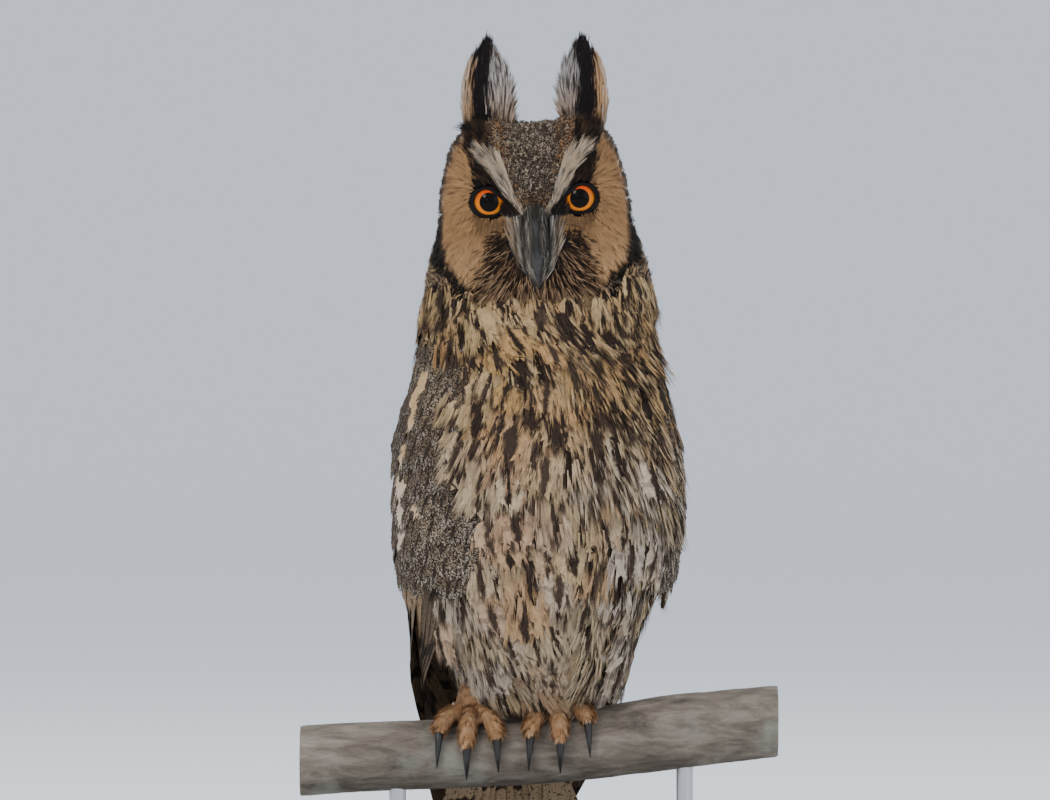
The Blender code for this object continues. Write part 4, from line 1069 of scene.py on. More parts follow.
def set_feathers(name, roots, shapes, material, nodes, slot, ruffle=0.08, seed=1):
    """Sets shapes on roots, each picked at random, and makes one plain mesh of them."""
    group = bpy.data.collections.new(name + "_shapes")
    bpy.context.scene.collection.children.link(group)
    for shape in shapes:
        group.objects.link(shape)
    count = len(roots["place"])
    kinds = np.random.default_rng(seed).integers(0, len(shapes), count)
    mesh = bpy.data.meshes.new(name)
    mesh.from_pydata((roots["place"] * 0.001).tolist(), [], [])
    vectors = {key: roots[key] for key in ("outward", "lie", "pattern")}
    vectors["size"] = roots["size"] * 0.001
    vectors["root_map"] = np.column_stack([roots["root_map"], np.zeros(count)])
    for key, values in vectors.items():
        layer = mesh.attributes.new(key, "FLOAT_VECTOR", "POINT")
        layer.data.foreach_set("vector", values.ravel())
    mesh.attributes.new("kind", "INT", "POINT").data.foreach_set("value", kinds)
    for key in ("ground", "mark"):
        colours = np.column_stack([np.clip(roots[key], 0, 1), kinds / len(shapes)])
        layer = mesh.attributes.new(key, "FLOAT_COLOR", "POINT")
        layer.data.foreach_set("color", colours.ravel())
    thing = link(bpy.data.objects.new(name, mesh))
    modifier = thing.modifiers.new("set_feathers", "NODES")
    modifier.node_group = FEATHER_TREE
    values = {"Shapes": group, "Ruffle": ruffle, "Seed": seed}
    values |= {"Bake Patch": BAKE_PATCH, "Finish": material}
    for item in FEATHER_TREE.interface.items_tree:
        if item.in_out == "INPUT" and item.name in values:
            modifier[item.identifier] = values[item.name]
    applied(thing)
    for shape in shapes:
        bpy.data.objects.remove(shape)
    bpy.data.collections.remove(group)
    for key in ("outward", "lie", "size", "root_map", "kind"):
        layer = thing.data.attributes.get(key)
        if layer:
            thing.data.attributes.remove(layer)
    thing.data.shade_smooth()
    return finish(thing, material, nodes)


FEATHER_TREE = feather_tree()


def surface_frame(surface, z, angle, lift):
    """Places on a surface with their outward, upward and sideways directions."""
    rise = surface(z + 0.4, angle, lift) - surface(z - 0.4, angle, lift)
    aside = surface(z, angle + 0.01, lift) - surface(z, angle - 0.01, lift)
    return surface(z, angle, lift), unit(np.cross(aside, rise)), unit(rise), unit(aside)


def laid(outward, direction, stand):
    """Turns a direction into the surface, then lifts it off by an angle: outward and lie."""
    flat = unit(direction - outward * np.sum(direction * outward, axis=-1, keepdims=True))
    stand = np.broadcast_to(stand, flat.shape[:1])[:, None]
    sine, cosine = np.sin(stand), np.cos(stand)
    return outward * cosine - flat * sine, flat * cosine + outward * sine


def spread_map(first, second):
    """Root places on an unwrap of the skin, spread over the map with a small margin."""
    spread = [0.01 + 0.98 * (v - v.min()) / max(np.ptp(v), 1e-6) for v in (first, second)]
    return np.column_stack(spread)


def blend_colours(first, second, share):
    share = np.clip(np.asarray(share, float), 0, 1)[:, None]
    return np.array(first) * (1 - share) + np.array(second) * share


def plumage_material(name, barb_lines=46.0, bars=3.2, speckle_scale=620.0, edge_pale=0.0):
    """Feather material: ground and mark colours of each feather, laid out along its vane.

    The pattern attribute gives the width of the dark shaft streak, the strength of the cross
    bars and the amount of speckling. The ground's alpha shifts the bars from feather to feather.
    """
    look = Look(name, 0.85, Specular_IOR_Level=0.12)
    maths = look.maths
    place = look.place()
    across, along, _ = look.parts(look.uv("vane"))
    streaked, barred, speckled = look.parts(look.layer("pattern", "Vector"))

    def step(value, low, high):
        return look.span(value, low, high, curve="SMOOTHSTEP")

    off_shaft = maths("ABSOLUTE", maths("MULTIPLY_ADD", across, 2.0, -1.0))
    ragged = look.noise(place, 380.0, 3.0)
    wobble = maths("MULTIPLY_ADD", ragged, 0.5, -0.25)
    spear = maths("MULTIPLY", streaked, maths("MULTIPLY_ADD", step(along, 0.0, 0.75), 0.6, 0.4))
    gap = maths("SUBTRACT", maths("ADD", off_shaft, wobble), spear)
    streak = maths("MULTIPLY", step(gap, 0.16, -0.12), step(streaked, 0.02, 0.06))
    shift = maths("MULTIPLY", wobble, 3.0)
    shift = maths("MULTIPLY_ADD", look.layer("ground", "Alpha"), 2.4, shift)
    bar_wave = maths("SINE", maths("MULTIPLY_ADD", along, bars * 2 * math.pi, shift))
    bar = maths("MULTIPLY", step(bar_wave, 0.55, 0.9), barred)
    grains = look.noise(place, speckle_scale, 2.5, 0.7)
    grains = maths("ADD", grains, maths("MULTIPLY_ADD", speckled, 0.24, -0.24))
    speckle = maths("MULTIPLY", step(grains, 0.46, 0.52), step(speckled, 0.0, 0.1))
    marked = maths("MAXIMUM", maths("MAXIMUM", streak, bar), speckle)
    barb_y = maths("MULTIPLY", maths("MULTIPLY_ADD", off_shaft, -0.28, along), barb_lines)
    barb_map = look.vector(maths("MULTIPLY", off_shaft, 1.6), barb_y, maths("MULTIPLY", ragged, 4.0))
    barb = look.noise(barb_map, 1.0, 2.0)
    pale = maths("MULTIPLY", step(along, 0.7, 1.0), edge_pale)
    colour = look.mixed(pale, look.layer("ground"), (0.80, 0.72, 0.62))
    colour = look.mixed(marked, colour, look.layer("mark"))
    # The barb relief also darkens the colour in its grooves and lightens it on its ridges: the barbs'
    # tone, with painted shade and painted light.
    colour = look.mixed(1.0, colour, look.span(barb, 0.3, 0.7, 0.72, 1.18), "MULTIPLY")
    return look.dress(colour, barb, 0.35, 0.0004)


leg_down = plumage_material("leg_down", 18.0)
leg_draw = np.random.default_rng(41)
leg_parts = []
for foot_side, foot_x in FOOT_PLACES.items():
    mirror = mirror_of(foot_side)
    for toe_index, (_, spread, end) in enumerate(TOES):
        t = leg_draw.random(TOE_FEATHERS) * 0.93
        around = leg_draw.uniform(-2.35, 2.35, TOE_FEATHERS)
        path = toe_path(foot_x, mirror * spread, end, 60)
        index = (t * 59).astype(int)
        centre = path[index]
        ahead = unit(np.gradient(path, axis=0))[index]
        x = centre[:, 0]
        away = unit(centre - np.stack([x, 0 * t, perch_axis(x)], axis=-1))
        sideways = np.cross(ahead, away)
        outward = away * np.cos(around)[:, None] + sideways * np.sin(around)[:, None]
        place = centre + outward * (TOE_RADIUS * between(t, TOE_SWELL) - 1.5)[:, None]
        toe_map = np.column_stack([around / 5 + toe_index + (4 if mirror > 0 else 0), t])
        leg_parts.append((place, outward, ahead, toe_map, np.where(t > 0.8, 3.4, 5.6)))
    low = float(perch_axis(foot_x)) + PERCH_RADIUS + 2
    shank_z = leg_draw.uniform(low, SHANK_TOP_Z, SHANK_FEATHERS)
    around = leg_draw.uniform(-math.pi, math.pi, SHANK_FEATHERS)
    outward = np.stack([np.cos(around), np.sin(around), 0 * around], axis=-1)
    climb = (shank_z - 112) / 38
    centre = np.stack([foot_x * (1 - 0.35 * climb), -1 + 5 * climb, shank_z], axis=-1)
    place = centre + outward * (7.6 + 2.5 * climb)[:, None]
    shank_map = np.column_stack([around / 7 + 9 + mirror, climb])
    down_leg = 0.25 * outward - (0.0, 0.0, 1.0)
    leg_parts.append((place, outward, down_leg, shank_map, np.full(SHANK_FEATHERS, 8.0)))
place, outward, lie, leg_map, length = (np.concatenate(part) for part in zip(*leg_parts))
length = length * leg_draw.uniform(0.8, 1.2, len(length))
tone = leg_draw.random(len(length))
ground = blend_colours(TOE_TAN, TOE_PALE, tone**2)
leg_map = spread_map(*leg_map.T)
pattern = (0, 0, 0.25 * tone)
leg_lie = laid(outward, lie, 0.2)
set_feathers(
    "leg_feathers",
    feather_roots(place, *leg_lie, length, 0.55, 0.5, leg_map, ground, TOE_DARK, pattern),
    several(hair_tuft, 4, "tuft", 10, 6, 0.22, 0.12, 0.13),
    leg_down,
    ["leg_left", "leg_right", "foot_left", "foot_right"],
    "leg_feathers",
)


# Body feathers
# Soft loose feathers in staggered rows from the neck to the belly, each vane overlaid with
# its hair-like barbs. The upper breast is buff with broad dark blotches; lower down the
# feathers are paler, with narrow dark shafts and fine cross marks. The back is grey-brown.
BUFF = (0.430, 0.257, 0.108)
PALE_BUFF = (0.470, 0.335, 0.184)
WHITISH = (0.50, 0.415, 0.325)
RUFOUS = (0.44, 0.215, 0.085)
DARK_BROWN = (0.028, 0.018, 0.013)
BACK_GREY = (0.22, 0.17, 0.125)
WING_EDGES = {
    # height, angle of the folded wing's front edge and of its back edge from the breast
    "left": (
        (24.0, 140.0, 176.0),
        (60.0, 118.0, 176.0),
        (100.0, 92.0, 175.0),
        (130.0, 76.0, 174.0),
        (165.0, 62.0, 170.0),
        (215.0, 58.0, 158.0),
        (250.0, 60.0, 142.0),
        (275.0, 66.0, 128.0),
        (290.0, 74.0, 118.0),
    ),
    "right": (
        (24.0, 140.0, 176.0),
        (60.0, 128.0, 176.0),
        (100.0, 112.0, 175.0),
        (118.0, 102.0, 174.0),
        (142.0, 66.0, 173.0),
        (165.0, 42.0, 170.0),
        (215.0, 31.0, 158.0),
        (250.0, 40.0, 142.0),
        (275.0, 52.0, 128.0),
        (290.0, 62.0, 118.0),
    ),
}
WING_TOP_Z = 291.0
BREAST_ROWS = (318.0, 243.0, -9.0)
BELLY_ROWS = (238.0, 127.0, -14.0)
PARTING_ROWS = (305.0, 234.0, -6.0)
PARTING_TURNS = (-6, 34, 5)
BREAST_SPACING = 10.6
BELLY_SPACING = 10.0
BELLY_TOP_Z = 232
FRONT_DEGREES = 100
BODY_UNWRAP = (385.0, 195.0)
FEATHER_ARCH = 0.16
FEATHER_CURL = -0.06
BODY_COATS = (
    # piece, barbs on each feather, how ragged the streak is, barb length and splay
    ("breast", 46, 0.20, 0.38, 0.26),
    ("belly", 50, 0.10, 0.32, 0.22),
    ("back", 22, 0.09, 0.40, 0.32),
)

wing_edges = {side: read_rows(rows) for side, rows in WING_EDGES.items()}


def under_wing(z, degrees, margin):
    """How far a place lies under a folded wing, in degrees, negative in the open."""
    left_front, left_back = wing_edges["left"](z)
    right_front, right_back = wing_edges["right"](z)
    inside_left = np.minimum(degrees - left_front, left_back - degrees)
    inside_right = np.minimum(-degrees - right_front, right_back + degrees)
    depth = np.where(degrees > 0, inside_left, inside_right)
    return np.where(z > WING_TOP_Z, -90.0, depth) - margin


def staggered(draw, heights, counts, jitter, drift):
    """Roots in rows at some heights, each row set between those of the next."""
    all_z = []
    all_angles = []
    for row, (z, count) in enumerate(zip(heights, counts)):
        turns = (np.arange(count) + 0.5 * (row % 2) + jitter * draw.standard_normal(count)) / count
        all_angles.append(turns * 2 * math.pi - math.pi)
        all_z.append(z + drift * draw.standard_normal(count))
    return np.concatenate(all_z), np.concatenate(all_angles)


def trunk_roots(draw, limits, spacing, jitter):
    heights = np.arange(*limits)
    girths = [2 * math.pi * float(mean_radius(*torso_rows(z)[1:])) for z in heights]
    counts = [round(girth / spacing) for girth in girths]
    return staggered(draw, heights, counts, jitter, jitter * abs(limits[2]))


def swept(rise, aside, sweep):
    """Downward directions on a surface, turned to one side by an angle."""
    return -rise * np.cos(sweep)[:, None] + aside * np.sin(sweep)[:, None]


def chosen(roots, mask):
    return {key: values[mask] for key, values in roots.items()}


def barbs_over(draw, roots, each, unwrap, soft=0.09, share=0.5, splay=0.32):
    """Roots of the hair-like barbs over each feather, in its streak's or its ground's colour.

    unwrap is the girth and the height that the whole bake map covers, in millimetres.
    """
    index = np.repeat(np.arange(len(roots["place"])), each)
    count = len(index)
    along = draw.uniform(0.06, 0.84, count)
    off = draw.uniform(-1, 1, count)
    half = between(along, VANE_OUTLINE)
    width, length, rise = roots["size"][index].T
    lie = roots["lie"][index]
    outward = roots["outward"][index]
    side = np.cross(lie, outward)
    level = (FEATHER_ARCH * (1 - off**2) * half + FEATHER_CURL * along**2) * rise + 0.3
    place = roots["place"][index] + lie * (length * along)[:, None]
    place = place + side * (width * half * off)[:, None] + outward * level[:, None]
    fan = splay * off + 0.06 * draw.standard_normal(count)
    barb_length = length * share * draw.uniform(0.8, 1.2, count)
    spear, bars, speckle = roots["pattern"][index].T
    inside = spear * (0.45 + 0.55 * smooth(0.0, 0.6, along)) - np.abs(off) * half * 2
    dark = inside + soft * draw.standard_normal(count) > 0
    bar = (np.sin(along * 19.0 + 2 * off) > 0.35) & (draw.random(count) < 0.75 * bars)
    fleck = draw.random(count) < 0.42 * speckle
    marked = np.where(dark, 1.0, np.where(bar | fleck, 0.72, 0.0))
    ground = roots["ground"][index] * draw.uniform(0.80, 1.16, (count, 1))
    mark = roots["mark"][index] * draw.uniform(0.7, 2.2, (count, 1))
    shift = np.column_stack([width * half * off / unwrap[0], length * along / unwrap[1]])
    root_map = np.clip(roots["root_map"][index] - shift, BAKE_PATCH, 1 - BAKE_PATCH)
    barb_lie = lie * np.cos(fan)[:, None] + side * np.sin(fan)[:, None]
    colours = (blend_colours(ground, mark, marked), roots["mark"][index])
    sizes = (barb_length, 0.30, 0.9)
    return feather_roots(place, outward, barb_lie, *sizes, root_map, *colours, (0, 0, 0))


body_down = plumage_material("body_plumage", 34.0, 3.0, 560.0)
barb_down = plumage_material("barb_plumage", 10.0)
body_draw = np.random.default_rng(7)
breast_roots = trunk_roots(body_draw, BREAST_ROWS, BREAST_SPACING, 0.22)
belly_roots = trunk_roots(body_draw, BELLY_ROWS, BELLY_SPACING, 0.12)
parting_z = np.repeat(np.arange(*PARTING_ROWS), PARTING_TURNS[2])
parting_turn = np.tile(np.linspace(*PARTING_TURNS), len(parting_z) // PARTING_TURNS[2])
parting_turn = np.radians(parting_turn + body_draw.uniform(-4, 4, len(parting_z)))
parting_roots = (parting_z + body_draw.uniform(-3, 3, len(parting_z)), parting_turn)
z, angle = (np.concatenate(rows) for rows in zip(breast_roots, belly_roots, parting_roots))
wing_margin = 3.0 + 38.0 * smooth(214, 180, z)
in_open = under_wing(z, np.degrees(angle), wing_margin) < 0
z = np.clip(z, 127.0, 317.5)[in_open]
angle = angle[in_open]
degrees = np.degrees(angle)
count = len(z)

body_lift = 0.4 - COAT_DEPTH - smooth(306, 316, z)
place, outward, rise, aside = surface_frame(torso_place, z, angle, body_lift)
inward = np.sin(np.radians(degrees * 2.2)) * bump(degrees, 70.0)
parting = np.where(degrees < 0, inward, 0.9 * bump(degrees - 20, 18.0))
low_sweep = inward * (0.12 + 0.30 * smooth(205, 140, z)) * smooth(250, 225, z)
sweep = 0.27 * parting * bump(z - 264, 26.0) - low_sweep
sweep = sweep + 0.035 * body_draw.standard_normal(count)
body_stand = 0.13 + 0.04 * body_draw.standard_normal(count)
body_lie = laid(outward, swept(rise, aside, sweep), body_stand)

front_share = smooth(122, 88, np.abs(degrees))
belly_share = smooth(272, 236, z)
blotchy = body_draw.random(count)
tone = body_draw.random(count)
breast_ground = blend_colours(BUFF, PALE_BUFF, tone)
ground = blend_colours(breast_ground, blend_colours(PALE_BUFF, WHITISH, tone * 1.3), belly_share)
rust_patch = bump(degrees + 20, 16.0) * smooth(290, 250, z) * (tone > 0.35)
rust_patch = np.maximum(rust_patch, 0.7 * (body_draw.random(count) > 0.88))
ground = blend_colours(ground, RUFOUS, 0.6 * rust_patch)
back_ground = blend_colours(BACK_GREY, BUFF, 0.7 * tone**2)
ground = blend_colours(back_ground, ground, front_share)
blotch_chance = 0.50 + 0.22 * smooth(-20, 30, degrees)
streak = np.where(blotchy < blotch_chance, 0.58, 0.24) * (1 - belly_share)
streak = streak + (0.20 + 0.10 * blotchy) * belly_share
streak = streak * front_share + 0.34 * (1 - front_share)
bars = 0.12 + 0.38 * belly_share * (tone > 0.55)
speckle = 0.95 * (1 - front_share) + 0.12 * front_share
length = (24.0 + 8.0 * belly_share) * body_draw.uniform(0.9, 1.12, count)
length = length * (1 - 0.45 * smooth(-36, -46, degrees) * bump(z - 300, 14.0))
mark = np.tile(DARK_BROWN, (count, 1)) * body_draw.uniform(0.7, 1.9, (count, 1))
colours = (ground, mark, (streak, bars, speckle))
body_roots = feather_roots(place, *body_lie, length, 0.60, 1.0, spread_map(angle, z), *colours)
in_front = np.abs(degrees) < FRONT_DEGREES
upper = z > BELLY_TOP_Z
body_masks = (in_front & upper, in_front & ~upper, ~in_front)
for (piece_name, each, *fur), mask in zip(BODY_COATS, body_masks):
    roots = chosen(body_roots, mask)
    shape = (8, 5, FEATHER_ARCH, FEATHER_CURL, 11, 0.10)
    shapes = several(feather_shape, 5, "body", 20, *shape)
    place_in = (["torso", "neck"], "breast_feathers")
    set_feathers(piece_name + "_feathers", roots, shapes, body_down, *place_in)
    roots = barbs_over(body_draw, roots, each, BODY_UNWRAP, *fur)
    shapes = several(hair_tuft, 5, "barb", 30, 7, 0.13, 0.05, 0.115)
    set_feathers(piece_name + "_barbs", roots, shapes, barb_down, *place_in, ruffle=0.05)


# Tail
# Twelve barred tail feathers, grey-brown with seven narrow dark bars, fold over each other
# behind the perch. Shorter coverts of the same colours hide their roots on both faces.
TAIL_BEND_RADIUS = 52.0
TAIL_FEATHERS = 6
TAIL_TOP_Z = 146.0
TAIL_TIP_Z = 27.0
TAIL_WIDTH = 19.0
TAIL_COVERTS = 190
TAIL_GROUND = (0.30, 0.205, 0.125)
TAIL_EDGE = (0.42, 0.30, 0.19)
VANE_TAPER = (
    # place along a long feather, share of its full half width
    (0.0, 0.45),
    (0.08, 0.80),
    (0.3, 0.97),
    (0.72, 1.0),
    (0.88, 0.86),
    (0.96, 0.52),
    (1.0, 0.10),
)


def new_sheet():
    return {key: [] for key in ("points", "faces", "vane", "OFBake", "ground", "mark", "pattern")}


def add_vane(sheet, draw, surface, half, root_map, ground, mark, pattern, rows=18, columns=7):
    """Adds one long feather to a sheet.

    surface gives points from the place along, the offset and the lift; half is half its width.
    """
    ends = (np.linspace(0, 1, rows), np.linspace(-1, 1, columns))
    t, s = np.meshgrid(*ends, indexing="ij")
    fray = 0.05 * draw.standard_normal(rows) - 0.22 * (draw.random(rows) > 0.86)
    edge = 1 + fray[:, None] * np.abs(s) ** 3
    offset = s * half * between(t, VANE_TAPER) * edge
    shaft = 0.35 * np.exp(-((s / 0.2) ** 2)) * (1 - t)
    slip = np.clip(t + 0.012 * draw.standard_normal(t.shape) * np.abs(s), 0, 1)
    base = len(sheet["points"])
    sheet["points"] += surface(slip, offset, shaft).reshape(-1, 3).tolist()
    sheet["faces"] += [tuple(base + i for i in face) for face in grid_faces(rows, columns, False)]
    vane = np.stack([0.5 + 0.5 * s, t], axis=-1).reshape(-1, 2)
    sheet["vane"] += vane.tolist()
    sheet["OFBake"] += (np.array(root_map) + (vane - 0.5) * BAKE_PATCH).tolist()
    shift = draw.random()
    for key, value in (("ground", (*ground, shift)), ("mark", (*mark, 1.0)), ("pattern", pattern)):
        sheet[key] += [tuple(value)] * (rows * columns)


def sheet_object(name, sheet, material, nodes, slot):
    """Makes one mesh of a sheet of long feathers, with its maps and colours."""
    thing = mesh_object(name, sheet["points"], sheet["faces"])
    mesh = thing.data
    corners = [loop.vertex_index for loop in mesh.loops]
    for key in ("vane", "OFBake"):
        places = np.array(sheet[key], float)[corners]
        mesh.uv_layers.new(name=key).data.foreach_set("uv", places.ravel())
    for key in ("ground", "mark"):
        colours = np.clip(sheet[key], 0, 1)
        layer = mesh.attributes.new(key, "FLOAT_COLOR", "POINT")
        layer.data.foreach_set("color", colours.ravel())
    pattern = np.array(sheet["pattern"], float)
    layer = mesh.attributes.new("pattern", "FLOAT_VECTOR", "POINT")
    layer.data.foreach_set("vector", pattern.ravel())
    mesh.shade_smooth()
    return finish(thing, material, nodes)


def tail_place(z, across, lift):
    """The tail's gently curved sheet, behind the bird."""
    y = 44 + (172 - z) * 0.19 - across**2 / (2 * TAIL_BEND_RADIUS)
    lean = across / TAIL_BEND_RADIUS
    size = np.hypot(lean, 1)
    return turned(across + lift * lean / size, y + lift / size, z)


flight_vanes = plumage_material("flight_plumage", 90.0, 7.0, 900.0)
tail_draw = np.random.default_rng(31)
tail_sheet = new_sheet()
for mirror in (1, -1):
    for k in range(TAIL_FEATHERS):
        def tail_surface(t, offset, shaft, k=k, mirror=mirror):
            z = TAIL_TOP_Z + (TAIL_TIP_Z + 0.4 * k * k - TAIL_TOP_Z) * t
            middle = 2 + 1.6 * k + (2 + 3.6 * k) * smooth(-0.2, 1.0, t)
            across = offset * (0.7 + 0.3 * t)
            lift = -0.4 * k + 0.16 * across - (2.2 if mirror < 0 else 0.0)
            lift = -1.8 + (lift + 1.8) * smooth(0.0, 0.25, t) + shaft
            return tail_place(z, mirror * (middle + across), lift)

        colour = np.array(TAIL_GROUND) * (1 - k / 7) + np.array(TAIL_EDGE) * k / 7
        looks = ((0.5 + mirror * (0.04 + 0.08 * k), 0.9), colour, DARK_BROWN, (0.0, 0.95, 0.55))
        add_vane(tail_sheet, tail_draw, tail_surface, TAIL_WIDTH / 2, *looks)
sheet_object("tail_vanes", tail_sheet, flight_vanes, ["tail"], "tail_feathers")

t = tail_draw.random(TAIL_COVERTS) ** 0.8
face = np.where(np.arange(TAIL_COVERTS) % 2, 1.0, -1.0)
z = 168 - 52 * t
across = tail_draw.uniform(-1, 1, TAIL_COVERTS) * (17 - 3 * t)
place = tail_place(z, across, np.where(face > 0, 0.6, -3.2))
on_tail = tail_place(z, across, 0.0)
outward = (tail_place(z, across, 1.0) - on_tail) * face[:, None]
covert_lie = laid(outward, tail_place(z - 1, across, 0.0) - on_tail, 0.07)
length = tail_draw.uniform(24, 32, TAIL_COVERTS)
ground = blend_colours(TAIL_EDGE, PALE_BUFF, tail_draw.random(TAIL_COVERTS) * (face < 0))
covert_map = spread_map(across + 60 * face, z)
colours = (ground, DARK_BROWN, (0.18, 0.4, 0.6 * (face > 0)))
set_feathers(
    "tail_coverts",
    feather_roots(place, *covert_lie, length, 0.5, 0.6, covert_map, *colours),
    several(feather_shape, 3, "covert", 50, 9, 5, 0.12, -0.03, 12, 0.11),
    body_down,
    ["tail"],
    "tail_feathers",
    ruffle=0.05,
)


# Wings
# The folded wings show a salt-and-pepper shoulder of small feathers with pale blotches, then
# the barred greater coverts and secondaries, and the long primaries that reach the tail.
WING_GREY = (0.145, 0.103, 0.067)
WING_PALE = (0.33, 0.25, 0.168)
WING_BUFF = (0.46, 0.30, 0.150)
WING_BLACK = (0.024, 0.017, 0.013)
PRIMARY_TIPS = (41.0, 31.0, 36.0, 50.0, 66.0)
PRIMARY_ROOT_Z = 236
PRIMARY_WIDTH = 14.0
SECONDARY_PATTERN = (0.0, 0.85, 0.6)
COVERT_PATTERN = (0.10, 0.6, 0.95)
WING_GROUPS = (
    # vanes, steps of the solids they span, pattern and place on the bake map, then root z, share
    # back, tip z and share back, each with its growth per step, then half width, lifts and tilt
    (
        (9, 4.0, SECONDARY_PATTERN, 0.6),
        ((230, 3.0), (0.38, 0.125), (98, 6.0), (0.38, 0.125)),
        (8.5, -4.6, -4.8, 0.10),
    ),
    (
        (11, 5.0, COVERT_PATTERN, 0.7),
        ((246, 1.5), (0.10, 0.146), (191, 2.3), (0.10, 0.147)),
        (8.0, -4.2, -2.4, 0.07),
    ),
    (
        (9, 4.0, COVERT_PATTERN, 0.7),
        ((262, 1.0), (0.12, 0.175), (221, 1.5), (0.12, 0.175)),
        (7.5, -4.2, -1.4, 0.07),
    ),
)
SHOULDER_ROWS = (291.0, 188.0, -4.6)
SHOULDER_SPACING = 5.8
SCAPULAR_SPOTS = (
    # height, degrees from the breast, half height and half width of a pale patch
    (264.0, 80.0, 11.5, 5.6),
    (249.0, 81.0, 5.0, 3.4),
    (235.0, 82.0, 6.5, 3.6),
    (213.0, 83.0, 9.0, 3.6),
    (192.0, 86.0, 7.0, 3.6),
    (211.0, 66.0, 3.0, 2.2),
    (207.0, 59.0, 3.0, 2.2),
)


def wing_place(side, z, share, offset, lift):
    """Points of a folded wing at a share of the way from its front edge to its back edge."""
    front, back = wing_edges[side](z)
    girth = mean_radius(*body_rows(z)[1:])
    angle = mirror_of(side) * (np.radians(front + (back - front) * share) + offset / girth)
    return flank_place(z, angle, lift)


def primary_lift(k, t, z):
    """Height of a primary over the wing: it dips under the coverts and comes clear below them."""
    high = -5.1 + 0.9 * k
    hidden = -6.6 - 0.9 * (4 - k)
    clear = -0.1 - 0.9 * (4 - k)
    lift = high + (hidden - high) * smooth(178, 146, z)
    lift = lift + (clear - lift) * smooth(104, 74, z)
    return -4.4 + (lift + 4.4) * smooth(0.0, 0.2, t)


shoulder_down = plumage_material("shoulder_plumage", 40.0, 3.0, 1200.0, 0.25)
for wing_side, wing_seed in (("left", 61), ("right", 62)):
    mirror = mirror_of(wing_side)
    wing_draw = np.random.default_rng(wing_seed)
    wing_sheet = new_sheet()
    for k in np.linspace(0, 4, 9):
        def primary_surface(t, offset, shaft, k=k, side=wing_side):
            z = PRIMARY_ROOT_Z + (np.interp(k, range(5), PRIMARY_TIPS) - PRIMARY_ROOT_Z) * t
            share = 0.06 + 0.055 * k + (0.24 + 0.045 * k) * t
            return wing_place(side, z, share, offset, primary_lift(k, t, z) + shaft)

        colour = np.array(WING_GREY) * 0.8 + np.array(WING_BUFF) * 0.3 * (k > 2)
        looks = ((0.5 + mirror * (0.10 + 0.05 * k), 0.55), colour, WING_BLACK, (0.0, 0.9, 0.5))
        add_vane(wing_sheet, wing_draw, primary_surface, PRIMARY_WIDTH / 2, *looks, rows=24)
    for (count, span, pattern, map_y), ends_by_step, (half, *row) in WING_GROUPS:
        for k in np.linspace(0, span, count):
            ends = np.array(ends_by_step) @ (1.0, k)

            def vane_surface(t, offset, shaft, ends=ends, side=wing_side, row=row):
                z = ends[0] + (ends[2] - ends[0]) * t
                share = ends[1] + (ends[3] - ends[1]) * t
                lift = row[0] + (row[1] - row[0]) * smooth(0.0, 0.35, t)
                lift = lift - row[2] * offset * smooth(0.0, 0.2, t) + shaft
                return wing_place(side, z, share, offset, lift)

            tone = wing_draw.random()
            colour = np.array(WING_GREY) * (1 - 0.5 * tone) + np.array(WING_PALE) * 0.5 * tone
            looks = ((0.5 + mirror * (0.05 + 0.08 * k), map_y), colour, WING_BLACK, pattern)
            add_vane(wing_sheet, wing_draw, vane_surface, half, *looks)
    wing_nodes = (["wing_" + wing_side], "wing_feathers")
    sheet_object("wing_vanes_" + wing_side, wing_sheet, flight_vanes, *wing_nodes)

    shoulder_parts = []
    for row, z in enumerate(np.arange(*SHOULDER_ROWS)):
        front, back = wing_edges[wing_side](z)
        count = int((back - front + 18) * 1.02 / SHOULDER_SPACING)
        share = (np.arange(count) + 0.5 * (row % 2)) / count * (1 + 14 / (back - front))
        share = -11 / (back - front) + share + 0.012 * wing_draw.standard_normal(count)
        shoulder_parts.append((z + 1.1 * wing_draw.standard_normal(count), share))
    z, share = (np.concatenate(part) for part in zip(*shoulder_parts))
    front, back = wing_edges[wing_side](z)
    angle = mirror * np.radians(front + (back - front) * share)
    lift = -3.0 + 1.6 * smooth(292, 262, z) - 1.6 * smooth(222, 200, z)
    place, outward, rise, aside = surface_frame(flank_place, z, angle, lift)
    sweep = mirror * (0.30 + 0.1 * wing_draw.standard_normal(len(z)))
    shoulder_lie = laid(outward, swept(rise, aside, sweep), 0.10)
    length = (12.5 + 7.0 * smooth(285, 240, z)) * wing_draw.uniform(0.85, 1.15, len(z))
    tone = wing_draw.random(len(z))
    blotch = np.zeros(len(z), bool)
    for spot_z, spot_degrees, spot_high, spot_wide in SCAPULAR_SPOTS:
        beside = (np.degrees(np.abs(angle)) - spot_degrees) / spot_wide * 1.05
        blotch |= np.hypot((z - 0.7 * length - spot_z) / spot_high, beside) < 1
    ground_share = tone * (0.5 + 0.5 * np.sin(0.11 * z + 3 * angle))
    ground = blend_colours(WING_GREY, WING_PALE, ground_share)
    outer_web = smooth(255, 225, z) * smooth(1.25, 1.35, np.abs(angle))
    pale = blend_colours(WING_BUFF, WHITISH, 0.8 * outer_web) * 1.1
    ground = np.where(blotch[:, None], pale, ground)
    pattern = (np.where(blotch, 0.0, 0.14), 0.2 * tone * ~blotch, np.where(blotch, 0.0, 1.02))
    sizes = (length, 0.66, 0.8)
    colours = (spread_map(angle, z), ground, WING_BLACK, pattern)
    set_feathers(
        "shoulder_" + wing_side,
        feather_roots(place, *shoulder_lie, *sizes, *colours),
        several(feather_shape, 4, "shoulder", 70, 8, 5, 0.15, -0.05, 11, 0.12),
        shoulder_down,
        *wing_nodes,
    )


